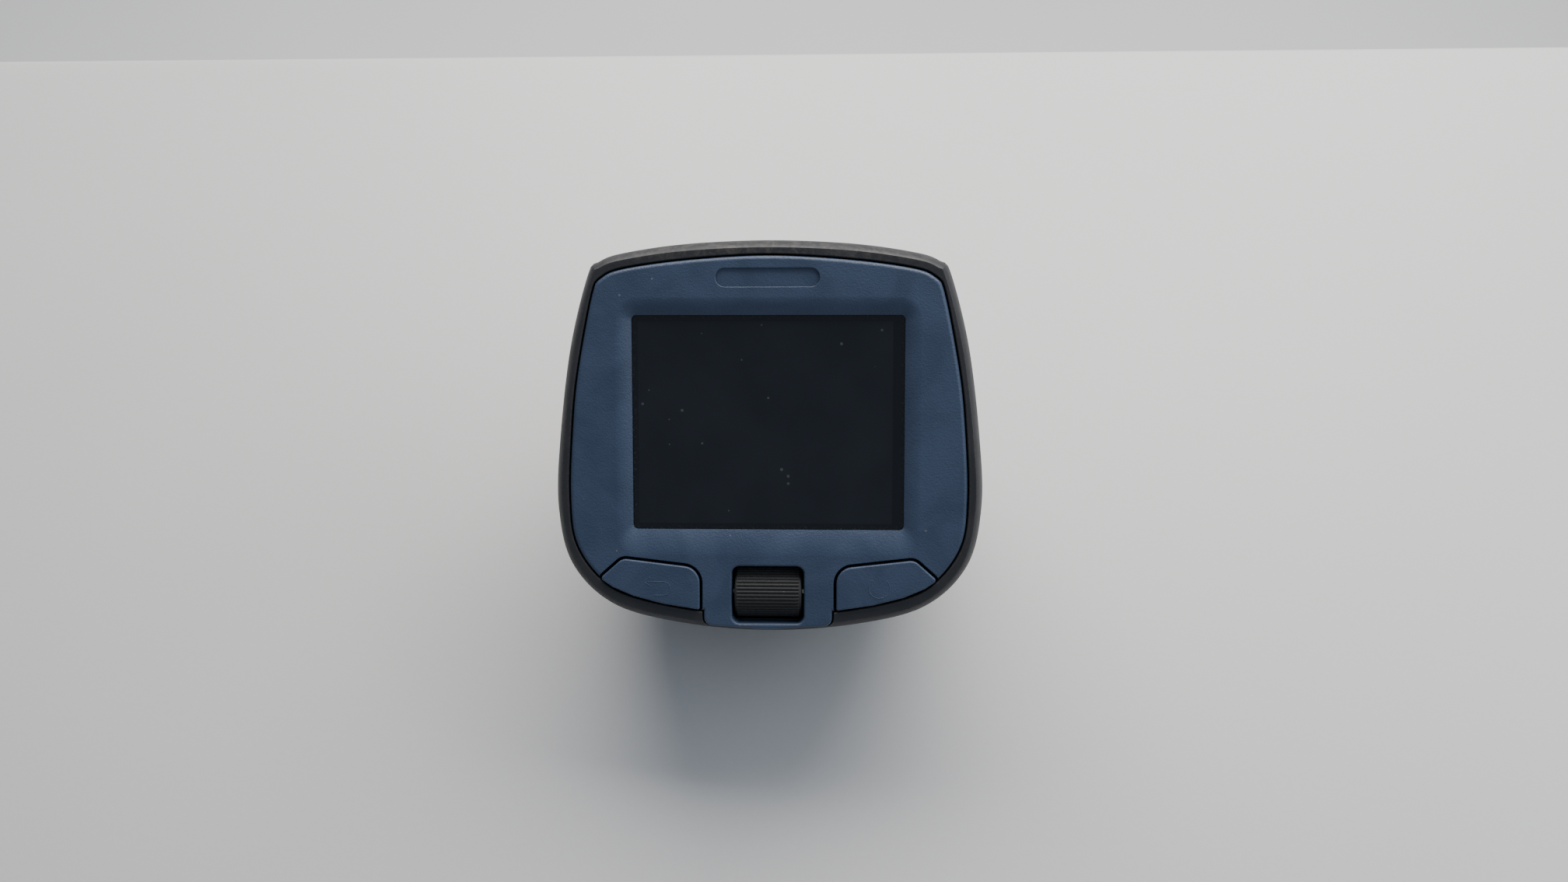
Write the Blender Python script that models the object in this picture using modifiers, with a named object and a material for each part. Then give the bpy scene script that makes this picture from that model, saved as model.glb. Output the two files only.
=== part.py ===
"""Palm-size egg-shaped cycling navigator: blue bezel, rubber surround, thumb wheel, two keys, two AA cells.

The pieces are drawn in the device's own frame, in millimetres: x to the right, y up the face and z out of
the face, with z = 0 on the bezel. The device frame then leans back so that the foot lies flat on the floor.
Names that end in _V and _U are places in the standing device: V runs level towards its back and U runs up.
"""

import math

import bmesh
import bpy
import numpy as np
from mathutils import Matrix, Vector

MM = 0.001
GAP = 0.3
CLEAR = 40.0
WELD = 0.002

# Driving sizes of the whole device
LEAN = math.radians(33.0)
BODY_WIDTH = 71.5
BODY_HEIGHT = 65.7
BODY_DEPTH = 56.0
WALL = 2.4
SEAM_DEPTH = 9.0
TAPER_DEPTH = 12.0
TAPER_POWER = 2.4
LIP_DEPTH = 5.0
LIP_ROLL = 2.3
LIP_FRONT = 0.3
OUTLINE_POINTS = 72

# Bezel, window and display
BEZEL_THICKNESS = 3.0
WINDOW_WIDTH = 45.1
WINDOW_HEIGHT = 35.6
WINDOW_Y = 2.24
WINDOW_CORNER = 0.8
WINDOW_SINK = 1.3
WINDOW_SLOPE = 2.2
LENS_THICKNESS = 1.2
LENS_OVERLAP = 0.9
PANEL_WIDTH = 46.0
PANEL_HEIGHT = 38.5

# Keys
KEY_GAP = 0.45
KEY_PROUD = 0.2
KEY_THICKNESS = 2.8
KEY_TRAVEL = 0.6
KEY_STEM_X = 17.0
KEY_STEM_Y = -24.2

# Thumb wheel
WHEEL_Y = -26.4
WHEEL_RADIUS = 4.4
WHEEL_PROUD = 0.4
WHEEL_Z = WHEEL_PROUD - WHEEL_RADIUS
WHEEL_WIDTH = 11.2
WHEEL_RIBS = 30
WHEEL_WINDOW_WIDTH = WHEEL_WIDTH + 0.8
WHEEL_WINDOW_HEIGHT = 2 * WHEEL_RADIUS + 0.85
WHEEL_TRAVEL = 0.6
AXLE_RADIUS = 0.7
ARM_THICKNESS = 1.0
TONGUE_WIDTH = 21.4
TONGUE_BOTTOM = -32.3

# Main board stack
BOARD_FRONT = -9.2
BOARD_THICKNESS = 1.2
BOARD_BACK = BOARD_FRONT - BOARD_THICKNESS
BOARD_HALF_WIDTH = BODY_WIDTH / 2 - 8.45
BOARD_SCREW_X = BODY_WIDTH / 2 - 10.35
BOARD_SCREW_Y = 19.5

# Cells and their tray
CELL_RADIUS = 7.25
CELL_LENGTH = 50.5
CELL_SPACING = 16.0
CELL_Z = -29.0
CELL_NUB = 1.5
CONTACT_THICKNESS = 0.4
CONTACT_FACE_X = CELL_LENGTH / 2 + 1.35
SPRING_WIRE_RADIUS = 0.3
TRAY_WALL = 1.75

# Battery door
DOOR_WALL = 2.0
DOOR_PLANE_V = 30.0
DOOR_TOP_U = -6.0
DOOR_BOTTOM_U = -37.2
HINGE_RADIUS = 1.8
HINGE_PIN_RADIUS = 0.6
HINGE_HALF_MIDDLE = 7.0
HINGE_HALF_LENGTH = 12.5
STUD_U = -32.5
STUD_RADIUS = 1.3
STUD_HEAD_RADIUS = 3.2
STUD_ENGAGEMENT = 1.7

# Foot and ball socket
FOOT_U = -47.0
FOOT_PAD_RADIUS = 2.6
FOOT_PAD_PROUD = 0.8
FOOT_PAD_SUNK = 0.9
FOOT_PAD_X = 11.5
FOOT_PAD_V = 9.5
BALL_RADIUS = 6.5
SOCKET_MOUTH_RADIUS = 6.0
SOCKET_WALL = 1.3

# Ports on the right side
PORT_DEPTH = 2.65
PORT_FLOOR_X = BODY_WIDTH / 2 - PORT_DEPTH
COVER_LOW_Y = -14.0
COVER_HIGH_Y = 9.0
COVER_FRONT = -10.9
COVER_BACK = -16.9
USB_Y = -8.0
USB_WIDTH = 7.7
USB_HEIGHT = 3.9
JACK_Y = 3.5
JACK_Z = -13.4
JACK_RADIUS = 2.2

# Speaker and case screws
SPEAKER_RADIUS = 10.0
SPEAKER_Z = -26.0
SPEAKER_TOP_Y = -19.0
SPEAKER_HEIGHT = 5.0
CASE_SCREW_X = BODY_WIDTH / 2 - 8.75
CASE_SCREW_Y = -21.0
CASE_SCREW_SEAT = -14.0

# Half outlines of the face, clockwise from its top; the widths and heights above scale them
SURROUND_HALF = (
    (0, 32.5), (14, 31.9), (24.5, 30.4), (28.4, 29), (30.2, 27), (33.3, 15), (35.25, 0),
    (35.75, -12), (33.4, -22), (26.15, -29), (14, -32.15), (0, -33.2),
)
BEZEL_HALF = (
    (0, 29.7), (13, 29), (23.5, 27.6), (27.3, 26.1), (28.9, 23.3), (31.5, 10), (32.5, 0),
    (32.9, -10), (32, -17.8), (28, -23.75), (22.5, -26.8), (11.4, -29.05), (0, -29.9),
)
KEY_CORNERS = (
    (28.1, -23.75, 0.5), (24.3, -20.4, 1.9), (11.4, -21.9, 2.8), (11.4, -28.95, 0.3),
    (17.5, -28.0, 0), (22.5, -26.7, 0), (26.0, -25.2, 0),
)


# ---------------------------------------------------------------- scene and frames

for leftover in list(bpy.data.objects):
    bpy.data.objects.remove(leftover, do_unlink=True)

parts = bpy.data.collections.new("cycling_navigator")
cutters = bpy.data.collections.new("cutters")
bpy.context.scene.collection.children.link(parts)
bpy.context.scene.collection.children.link(cutters)

device = bpy.data.objects.new("device_frame", None)
device.rotation_euler = (LEAN, 0, 0)
parts.objects.link(device)


def standing(x, v, u):
    """A point of the standing device, x to the right, v to its back and u up, in the device frame."""
    y = v * math.cos(LEAN) + u * math.sin(LEAN)
    z = u * math.cos(LEAN) - v * math.sin(LEAN)
    return Vector((x, y, z))


# ---------------------------------------------------------------- outlines

def closed_spline(points, count):
    """An even closed outline of count points, drawn smoothly through the points."""
    ring = np.array(points, float)
    before = np.roll(ring, 1, axis=0)
    after = np.roll(ring, -1, axis=0)
    beyond = np.roll(ring, -2, axis=0)
    steps = np.linspace(0, 1, 24, endpoint=False)[:, None]
    curve = []
    for a, b, c, d in zip(before, ring, after, beyond):
        part = 2 * b + (c - a) * steps
        part = part + (2 * a - 5 * b + 4 * c - d) * steps**2
        part = part + (3 * b - a - 3 * c + d) * steps**3
        curve.append(part / 2)
    curve = np.vstack(curve)
    loop = np.vstack([curve, curve[:1]])
    length = np.concatenate([[0], np.cumsum(np.linalg.norm(np.diff(loop, axis=0), axis=1))])
    wanted = np.linspace(0, length[-1], count, endpoint=False)
    return np.column_stack([np.interp(wanted, length, loop[:, axis]) for axis in (0, 1)])


def mirrored(half):
    """Both halves of an outline whose first and last points lie on its middle line."""
    left = [(-x, y) for x, y in reversed(half[1:-1])]
    return list(half) + left


def grown(outline, distance):
    """The outline moved outwards by the distance, or inwards where it is negative."""
    loop = np.array(outline, float)
    ahead = np.roll(loop, -1, axis=0) - loop
    ahead /= np.linalg.norm(ahead, axis=1)[:, None]
    behind = np.roll(ahead, 1, axis=0)
    x, y = loop[:, 0], loop[:, 1]
    area = np.sum(x * np.roll(y, -1) - np.roll(x, -1) * y)
    side = np.column_stack([ahead[:, 1] + behind[:, 1], -ahead[:, 0] - behind[:, 0]])
    side /= (1 + np.sum(ahead * behind, axis=1))[:, None]
    return loop + side * distance * (1 if area > 0 else -1)


def rounded(corners, steps=6):
    """An outline with its (x, y, radius) corners rounded by arcs."""
    outline = []
    for index, (x, y, radius) in enumerate(corners):
        corner = Vector((x, y))
        if radius == 0:
            outline.append(tuple(corner))
            continue
        inward = (Vector(corners[index - 1][:2]) - corner).normalized()
        outward = (Vector(corners[(index + 1) % len(corners)][:2]) - corner).normalized()
        half_angle = inward.angle(outward) / 2
        centre = corner + (inward + outward).normalized() * radius / math.sin(half_angle)
        first = corner + inward * radius / math.tan(half_angle) - centre
        sweep = first.angle_signed(corner + outward * radius / math.tan(half_angle) - centre)
        for step in range(steps + 1):
            turn = Matrix.Rotation(-sweep * step / steps, 2)
            outline.append(tuple(centre + turn @ first))
    return outline


def rounded_rectangle(width, height, centre_y, radius, steps=5):
    x = width / 2
    y = height / 2
    corners = [(x, y), (-x, y), (-x, -y), (x, -y)]
    return rounded([(a, centre_y + b, radius) for a, b in corners], steps)


FACE_SCALE = np.array([BODY_WIDTH / 71.5, BODY_HEIGHT / 65.7])
surround_outline = closed_spline(mirrored(SURROUND_HALF), OUTLINE_POINTS) * FACE_SCALE
bezel_outline = closed_spline(mirrored(BEZEL_HALF), OUTLINE_POINTS) * FACE_SCALE
key_outline = [(x * FACE_SCALE[0], y * FACE_SCALE[1]) for x, y in rounded(KEY_CORNERS)]
tongue_outline = rounded([
    (TONGUE_WIDTH / 2, WHEEL_Y + WHEEL_WINDOW_HEIGHT / 2, 0),
    (TONGUE_WIDTH / 2, TONGUE_BOTTOM + 0.7, 1.4),
    (0, TONGUE_BOTTOM, 0),
    (-TONGUE_WIDTH / 2, TONGUE_BOTTOM + 0.7, 1.4),
    (-TONGUE_WIDTH / 2, WHEEL_Y + WHEEL_WINDOW_HEIGHT / 2, 0),
])


# ---------------------------------------------------------------- pieces and the ways to shape them

def surface(name, colour, roughness, metallic=0.0):
    made = bpy.data.materials.new(name)
    made.use_nodes = True
    shader = made.node_tree.nodes["Principled BSDF"]
    shader.inputs["Base Color"].default_value = (*colour, 1)
    shader.inputs["Roughness"].default_value = roughness
    shader.inputs["Metallic"].default_value = metallic
    made.diffuse_color = (*colour, 1)
    return made


BLUE = surface("blue_satin_plastic", (0.045, 0.09, 0.16), 0.45)
BLACK = surface("black_plastic", (0.02, 0.021, 0.025), 0.5)
RUBBER = surface("black_rubber", (0.014, 0.014, 0.016), 0.7)
GLASS = surface("dark_window", (0.006, 0.007, 0.009), 0.08)
STEEL = surface("plated_steel", (0.55, 0.55, 0.57), 0.3, 1.0)
GREEN = surface("circuit_board", (0.015, 0.11, 0.045), 0.5)
WHITE = surface("white_plastic", (0.7, 0.7, 0.68), 0.5)
CERAMIC = surface("antenna_ceramic", (0.45, 0.36, 0.25), 0.6)
GOLD = surface("gold_plate", (0.8, 0.58, 0.2), 0.3, 1.0)
CELL = surface("cell_wrap", (0.32, 0.19, 0.05), 0.35, 0.3)


def drawn(name, mesh):
    made = bpy.data.objects.new(name, mesh)
    cutters.objects.link(made)
    return made


def from_bmesh(name, shape):
    bmesh.ops.recalc_face_normals(shape, faces=shape.faces)
    mesh = bpy.data.meshes.new(name)
    shape.to_mesh(mesh)
    shape.free()
    return drawn(name, mesh)


def baked(piece):
    """The piece with its modifiers worked into its mesh."""
    graph = bpy.context.evaluated_depsgraph_get()
    mesh = bpy.data.meshes.new_from_object(piece.evaluated_get(graph))
    piece.modifiers.clear()
    piece.data = mesh
    return piece


def welded(piece):
    """The piece with the points that lie on each other, and the slivers between them, taken out."""
    shape = bmesh.new()
    shape.from_mesh(piece.data)
    bmesh.ops.remove_doubles(shape, verts=shape.verts, dist=WELD * MM)
    bmesh.ops.dissolve_degenerate(shape, edges=shape.edges, dist=WELD * MM)
    shape.to_mesh(piece.data)
    shape.free()
    return piece


def combined(piece, others, operation):
    for other in others:
        modifier = piece.modifiers.new(operation.lower(), "BOOLEAN")
        modifier.operation = operation
        modifier.solver = "EXACT"
        modifier.object = other
        welded(baked(piece))
        bpy.data.objects.remove(other, do_unlink=True)
    return piece


def cut(piece, *others):
    return combined(piece, others, "DIFFERENCE")


def join(piece, *others):
    return combined(piece, others, "UNION")


def common(piece, *others):
    return combined(piece, others, "INTERSECT")


def block(name, x, second, third, upright=False):
    """A box between two values on each axis: x, y, z, or x, v, u where it is upright."""
    shape = bmesh.new()
    bmesh.ops.create_cube(shape, size=1)
    low = Vector((x[0], second[0], third[0]))
    high = Vector((x[1], second[1], third[1]))
    size = (high - low) * MM
    centre = (high + low) / 2 * MM
    place = Matrix.Translation(centre) @ Matrix.Diagonal((*size, 1))
    if upright:
        place = Matrix.Rotation(-LEAN, 4, "X") @ place
    bmesh.ops.transform(shape, matrix=place, verts=shape.verts)
    return from_bmesh(name, shape)


def rod(name, radius, start, end, segments=24):
    """A cylinder from one point to another."""
    start = Vector(start) * MM
    end = Vector(end) * MM
    along = end - start
    shape = bmesh.new()
    bmesh.ops.create_cone(
        shape, cap_ends=True, segments=segments, radius1=radius * MM, radius2=radius * MM,
        depth=along.length,
    )
    turn = along.to_track_quat("Z", "X").to_matrix().to_4x4()
    place = Matrix.Translation((start + end) / 2) @ turn
    bmesh.ops.transform(shape, matrix=place, verts=shape.verts)
    return from_bmesh(name, shape)


def curve_mesh(name, curve):
    """A closed mesh made from a curve, with its caps welded on."""
    source = drawn(name + "_curve", curve)
    graph = bpy.context.evaluated_depsgraph_get()
    mesh = bpy.data.meshes.new_from_object(source.evaluated_get(graph))
    bpy.data.objects.remove(source, do_unlink=True)
    shape = bmesh.new()
    shape.from_mesh(mesh)
    bmesh.ops.remove_doubles(shape, verts=shape.verts, dist=1e-6)
    return from_bmesh(name, shape)


def flat(name, outline, back, front):
    """A flat piece with the outline in x and y, between two values of z."""
    curve = bpy.data.curves.new(name, "CURVE")
    curve.dimensions = "2D"
    curve.fill_mode = "BOTH"
    curve.extrude = (front - back) / 2 * MM
    spline = curve.splines.new("POLY")
    spline.points.add(len(outline) - 1)
    for point, (x, y) in zip(spline.points, outline):
        point.co = (x * MM, y * MM, 0, 1)
    spline.use_cyclic_u = True
    made = curve_mesh(name, curve)
    made.data.transform(Matrix.Translation((0, 0, (front + back) / 2 * MM)))
    return made


def ring(name, outer, inner, back, front):
    hole = flat(name + "_hole", inner, back - 1, front + 1)
    return cut(flat(name, outer, back, front), hole)


def loft(name, sections):
    """A solid through closed sections of equal point counts, each an array of x, y, z rows."""
    shape = bmesh.new()
    loops = [[shape.verts.new(Vector(point) * MM) for point in section] for section in sections]
    for near, far in zip(loops, loops[1:]):
        for index in range(len(near)):
            following = (index + 1) % len(near)
            shape.faces.new((near[index], near[following], far[following], far[index]))
    bmesh.ops.triangulate(shape, faces=shape.faces)
    shape.faces.new(loops[0])
    shape.faces.new(loops[-1])
    return from_bmesh(name, shape)


def turned(name, profile, base, direction, steps=28):
    """A turned solid: (radius, height) points up from the base, along the direction."""
    mesh = bpy.data.meshes.new(name)
    points = [(radius * MM, 0, height * MM) for radius, height in profile]
    edges = [(index, index + 1) for index in range(len(points) - 1)]
    mesh.from_pydata(points, edges, [])
    made = drawn(name, mesh)
    screw = made.modifiers.new("turn", "SCREW")
    screw.steps = steps
    screw.render_steps = steps
    screw.use_merge_vertices = True
    screw.merge_threshold = 1e-6
    baked(made)
    shape = bmesh.new()
    shape.from_mesh(made.data)
    bpy.data.objects.remove(made, do_unlink=True)
    bmesh.ops.remove_doubles(shape, verts=shape.verts, dist=1e-7)
    turn = Vector(direction).to_track_quat("Z", "X").to_matrix().to_4x4()
    place = Matrix.Translation(Vector(base) * MM) @ turn
    bmesh.ops.transform(shape, matrix=place, verts=shape.verts)
    return from_bmesh(name, shape)


def finished(piece, name, colour, origin=(0, 0, 0)):
    """Makes a sub-part of the piece: its name, its material, and its origin at the given point."""
    shift = Vector(origin) * MM
    piece.name = name
    piece.data.name = name
    piece.data.transform(Matrix.Translation(-shift))
    piece.location = shift
    piece.parent = device
    piece.data.materials.clear()
    piece.data.materials.append(colour)
    piece.data.shade_smooth()
    piece.data.set_sharp_from_angle(angle=math.radians(32))
    cutters.objects.unlink(piece)
    parts.objects.link(piece)
    return piece


# ---------------------------------------------------------------- the egg-shaped skin

def taper(depth, tail):
    share = max(0.0, depth - TAPER_DEPTH) / (tail - TAPER_DEPTH)
    return math.sqrt(max(0.0, 1 - share**TAPER_POWER))


def skin_section(depth, inset=0.0):
    """The skin's outline at a depth behind the face, or that of a surface inside it."""
    outline = grown(surround_outline, -inset) if inset else surround_outline
    half_size = np.abs(outline).max(axis=0)
    reach = 1 / np.linalg.norm(outline / half_size, axis=1)
    roundness = np.clip((depth - TAPER_DEPTH) / (BODY_DEPTH - TAPER_DEPTH), 0, 1)
    shape = outline * (1 - roundness + roundness * reach)[:, None]
    shape = shape * taper(depth, BODY_DEPTH - inset)
    return np.column_stack([shape, np.full(len(shape), -depth)])


def egg(name, first_depth, inset=0.0, rows=13):
    """The solid inside the skin, from a depth to the tail."""
    tail = BODY_DEPTH - inset
    angles = np.radians(np.linspace(0, 88, rows))
    depths = TAPER_DEPTH + (tail - TAPER_DEPTH) * np.sin(angles)
    sections = [skin_section(depth, inset) for depth in [first_depth, *depths]]
    return loft(name, sections)


def lip_roll(depth):
    """How far the rolled front edge stands inside the skin at a depth."""
    share = max(0.0, LIP_DEPTH - depth) / LIP_DEPTH
    return LIP_ROLL * (1 - math.sqrt(1 - share**2))


def profile_line():
    """Rows of (v, u) down the middle of the skin, from the top of the face round the tail to its bottom."""
    top = surround_outline[:, 1].max()
    bottom = surround_outline[:, 1].min()
    depths = np.linspace(TAPER_DEPTH, BODY_DEPTH, 2000)
    scale = np.array([taper(depth, BODY_DEPTH) for depth in depths])
    y = np.concatenate([top * scale, (bottom * scale)[::-1]])
    z = -np.concatenate([depths, depths[::-1]])
    v = y * math.cos(LEAN) - z * math.sin(LEAN)
    u = y * math.sin(LEAN) + z * math.cos(LEAN)
    return v, u


def back_skin(height):
    """How far back the skin reaches at a height of the standing device."""
    v, u = profile_line()
    upper = slice(0, int(np.argmin(u)))
    return float(np.interp(-height, -u[upper], v[upper]))


def foot_span():
    """The front and back ends of the flat that the foot plane cuts from the skin."""
    v, u = profile_line()
    below = v[u < FOOT_U]
    return float(below.min()), float(below.max())


FOOT_V = sum(foot_span()) / 2
HINGE_U = DOOR_TOP_U - GAP / 2
HINGE_V = back_skin(HINGE_U)


# ---------------------------------------------------------------- bezel and display

def make_bezel():
    """Moulded blue face plate with the window, two key openings and the wheel opening."""
    bezel = flat("bezel", bezel_outline, -BEZEL_THICKNESS, 0)
    key_hole = grown(key_outline, KEY_GAP)
    left_hole = [(-x, y) for x, y in key_hole]
    cut(bezel, flat("right_key", key_hole, -5, 2), flat("left_key", left_hole, -5, 2))
    join(bezel, flat("tongue", tongue_outline, -BEZEL_THICKNESS, 0))
    wheel_hole = rounded_rectangle(WHEEL_WINDOW_WIDTH, WHEEL_WINDOW_HEIGHT, WHEEL_Y, 1.3)
    cut(bezel, flat("wheel_hole", wheel_hole, -5, 2))
    sections = []
    for z, slope in ((1, 1 + 1 / WINDOW_SINK), (-WINDOW_SINK, 0), (-5, 0)):
        spread = 2 * WINDOW_SLOPE * slope
        outline = rounded_rectangle(
            WINDOW_WIDTH + spread, WINDOW_HEIGHT + spread, WINDOW_Y, WINDOW_CORNER + spread / 2,
        )
        sections.append([(x, y, z) for x, y in outline])
    cut(bezel, loft("window", sections))
    pocket = rounded_rectangle(
        WINDOW_WIDTH + 2 * (LENS_OVERLAP + GAP), WINDOW_HEIGHT + 2 * (LENS_OVERLAP + GAP),
        WINDOW_Y, 1.2,
    )
    pocket_front = LENS_THICKNESS - BEZEL_THICKNESS + GAP
    cut(bezel, flat("pocket", pocket, -5, pocket_front))
    finished(bezel, "front_bezel", BLUE)


def make_display():
    """Dark hard-coated window, its foam ring, the colour panel and the light guide behind it."""
    lens = rounded_rectangle(
        WINDOW_WIDTH + 2 * LENS_OVERLAP, WINDOW_HEIGHT + 2 * LENS_OVERLAP, WINDOW_Y, 1.0
    )
    back = -BEZEL_THICKNESS
    finished(flat("lens", lens, back, back + LENS_THICKNESS), "display_lens", GLASS)
    rim = rounded_rectangle(WINDOW_WIDTH - 1.4, WINDOW_HEIGHT - 1.4, WINDOW_Y, 0.8)
    gasket = ring("foam", lens, rim, back - GAP - 0.5, back - GAP)
    finished(gasket, "lens_gasket", RUBBER)
    x = (-PANEL_WIDTH / 2, PANEL_WIDTH / 2)
    y = (WINDOW_Y - PANEL_HEIGHT / 2, WINDOW_Y + PANEL_HEIGHT / 2)
    front = back - 2 * GAP - 0.5
    finished(block("panel", x, y, (front - 2.0, front)), "lcd_panel", GLASS)
    finished(block("light", x, y, (front - 3.9, front - 2.3)), "lcd_backlight", WHITE)


# ---------------------------------------------------------------- keys

def make_key(name, side):
    """Hard key cap with a stem that reaches the dome switch."""
    outline = [(side * x, y) for x, y in key_outline]
    key = flat(name, outline, KEY_PROUD - KEY_THICKNESS, KEY_PROUD)
    stem_x = sorted((side * (KEY_STEM_X - 1.8), side * (KEY_STEM_X + 1.8)))
    stem_y = (KEY_STEM_Y - 1, KEY_STEM_Y + 1)
    join(key, block("stem", stem_x, stem_y, (-5.0, -2.0)))
    finished(key, name, BLUE, (side * KEY_STEM_X, KEY_STEM_Y, 0))


def make_keypad():
    """Silicone web under both keys, and a tact switch for each on the main board."""
    half = [(23.4, -19.4), (23.4, -23.2), (20, -25.6), (12.5, -26.4), (12.5, -20.8)]
    web = half + [(-x, y) for x, y in reversed(half)]
    finished(flat("web", web, -6.7, -5.9), "keypad_membrane", RUBBER)
    for name, side in (("switch_left", -1), ("switch_right", 1)):
        x = side * KEY_STEM_X
        body = block(name, (x - 2.2, x + 2.2), (KEY_STEM_Y - 1.6, KEY_STEM_Y + 1.6), (-8.9, -7.6))
        join(body, rod("dome", 1.1, (x, KEY_STEM_Y, -8), (x, KEY_STEM_Y, -7.1), 16))
        finished(body, name, STEEL)


# ---------------------------------------------------------------- thumb wheel

def make_wheel():
    """Ribbed rubber roller on a steel axle."""
    shape = []
    for index in range(4 * WHEEL_RIBS):
        angle = math.tau * index / (4 * WHEEL_RIBS)
        radius = WHEEL_RADIUS if index % 4 < 2 else WHEEL_RADIUS - 0.25
        shape.append((radius * math.cos(angle), radius * math.sin(angle)))
    wheel = flat("wheel", shape, -WHEEL_WIDTH / 2, WHEEL_WIDTH / 2)
    upright = Matrix.Rotation(math.pi / 2, 4, "Y")
    wheel.data.transform(Matrix.Translation((0, WHEEL_Y * MM, WHEEL_Z * MM)) @ upright)
    centre = (0, WHEEL_Y, WHEEL_Z)
    reach = WHEEL_WIDTH / 2 + 2
    cut(wheel, rod("bore", AXLE_RADIUS + 0.2, (-reach, *centre[1:]), (reach, *centre[1:])))
    finished(wheel, "thumb_wheel", RUBBER, centre)
    axle = rod("axle", AXLE_RADIUS, (-reach, *centre[1:]), (reach, *centre[1:]), 16)
    finished(axle, "wheel_axle", STEEL, centre)


def make_wheel_carrier():
    """Sliding cradle that holds the axle and clicks the switch under it, on its own small board."""
    inner = WHEEL_WIDTH / 2 + 0.8
    outer = inner + ARM_THICKNESS
    y = (WHEEL_Y - 2.2, WHEEL_Y + 2.2)
    floor = WHEEL_Z - WHEEL_RADIUS - 0.5
    carrier = block("carrier", (-outer, outer), y, (floor - 1, -BEZEL_THICKNESS - GAP))
    cut(carrier, block("wheel_room", (-inner, inner), (y[0] - 1, y[1] + 1), (floor, 1)))
    slot = AXLE_RADIUS + 0.25
    bore = rod("slot", slot, (-outer - 1, WHEEL_Y, WHEEL_Z), (outer + 1, WHEEL_Y, WHEEL_Z))
    mouth = block("mouth", (-outer - 1, outer + 1), (WHEEL_Y - slot, WHEEL_Y + slot), (WHEEL_Z, 1))
    cut(carrier, join(bore, mouth))
    finished(carrier, "wheel_carrier", BLACK, (0, WHEEL_Y, floor))
    switch_top = floor - 1 - WHEEL_TRAVEL - GAP
    board_top = switch_top - 2.2
    span = (WHEEL_Y - 1.6, WHEEL_Y + 1.6)
    finished(block("s", (1, 5), span, (board_top + 0.2, switch_top)), "wheel_switch", STEEL)
    finished(block("e", (-6, -1), span, (board_top + 0.2, switch_top)), "wheel_encoder", BLACK)
    board = block("b", (-8.5, 8.5), (WHEEL_Y - 3, WHEEL_Y + 4.5), (board_top - 1, board_top))
    finished(board, "wheel_board", GREEN)


# ---------------------------------------------------------------- surround

def make_surround():
    """Soft black frame round the bezel: a rolled lip, a seat for the bezel and lugs for screws."""
    sections = []
    for depth in (LIP_FRONT, 0.7, 1.3, 2.2, 3.4, LIP_DEPTH, SEAM_DEPTH - GAP):
        outline = grown(surround_outline, -lip_roll(depth))
        sections.append(np.column_stack([outline, np.full(len(outline), -depth)]))
    surround = loft("surround", sections)
    seat = -BEZEL_THICKNESS - GAP
    cut(
        surround,
        flat("seat", grown(bezel_outline, GAP), seat, 5),
        flat("tongue_seat", grown(tongue_outline, GAP), seat, 5),
        flat("window", grown(bezel_outline, -1.6), -CLEAR, 5),
        flat("hollow", grown(surround_outline, -WALL + 0.2), -CLEAR, seat - 1.5),
    )
    low = WHEEL_Y - WHEEL_RADIUS - GAP
    cut(surround, block("wheel_room", (-8.5, 8.5), (low, -19), (-CLEAR, 1)))
    for side in (-1, 1):
        top_x = sorted((side * (BOARD_SCREW_X - 1.8), side * (BOARD_SCREW_X + 4.6)))
        lug = block("lug", top_x, (BOARD_SCREW_Y - 2.5, BOARD_SCREW_Y + 2.5), (-8.7, -4.0))
        join(surround, lug)
        x = side * BOARD_SCREW_X
        cut(surround, rod("pilot", 0.8, (x, BOARD_SCREW_Y, -12), (x, BOARD_SCREW_Y, -5), 16))
        x = side * CASE_SCREW_X
        join(surround, rod("pillar", 2.6, (x, CASE_SCREW_Y, -8.7), (x, CASE_SCREW_Y, -4.0)))
        cut(surround, rod("pilot", 1.0, (x, CASE_SCREW_Y, -12), (x, CASE_SCREW_Y, -5), 16))
    finished(surround, "rubber_surround", RUBBER)


def make_main_gasket():
    """Silicone ring in the groove of the rear shell's rim."""
    outer = grown(surround_outline, -0.85)
    inner = grown(surround_outline, -1.55)
    gasket = ring("gasket", outer, inner, -SEAM_DEPTH - 0.7, -SEAM_DEPTH + 0.05)
    finished(gasket, "main_gasket", RUBBER)


# ---------------------------------------------------------------- main board and what is on it

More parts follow.
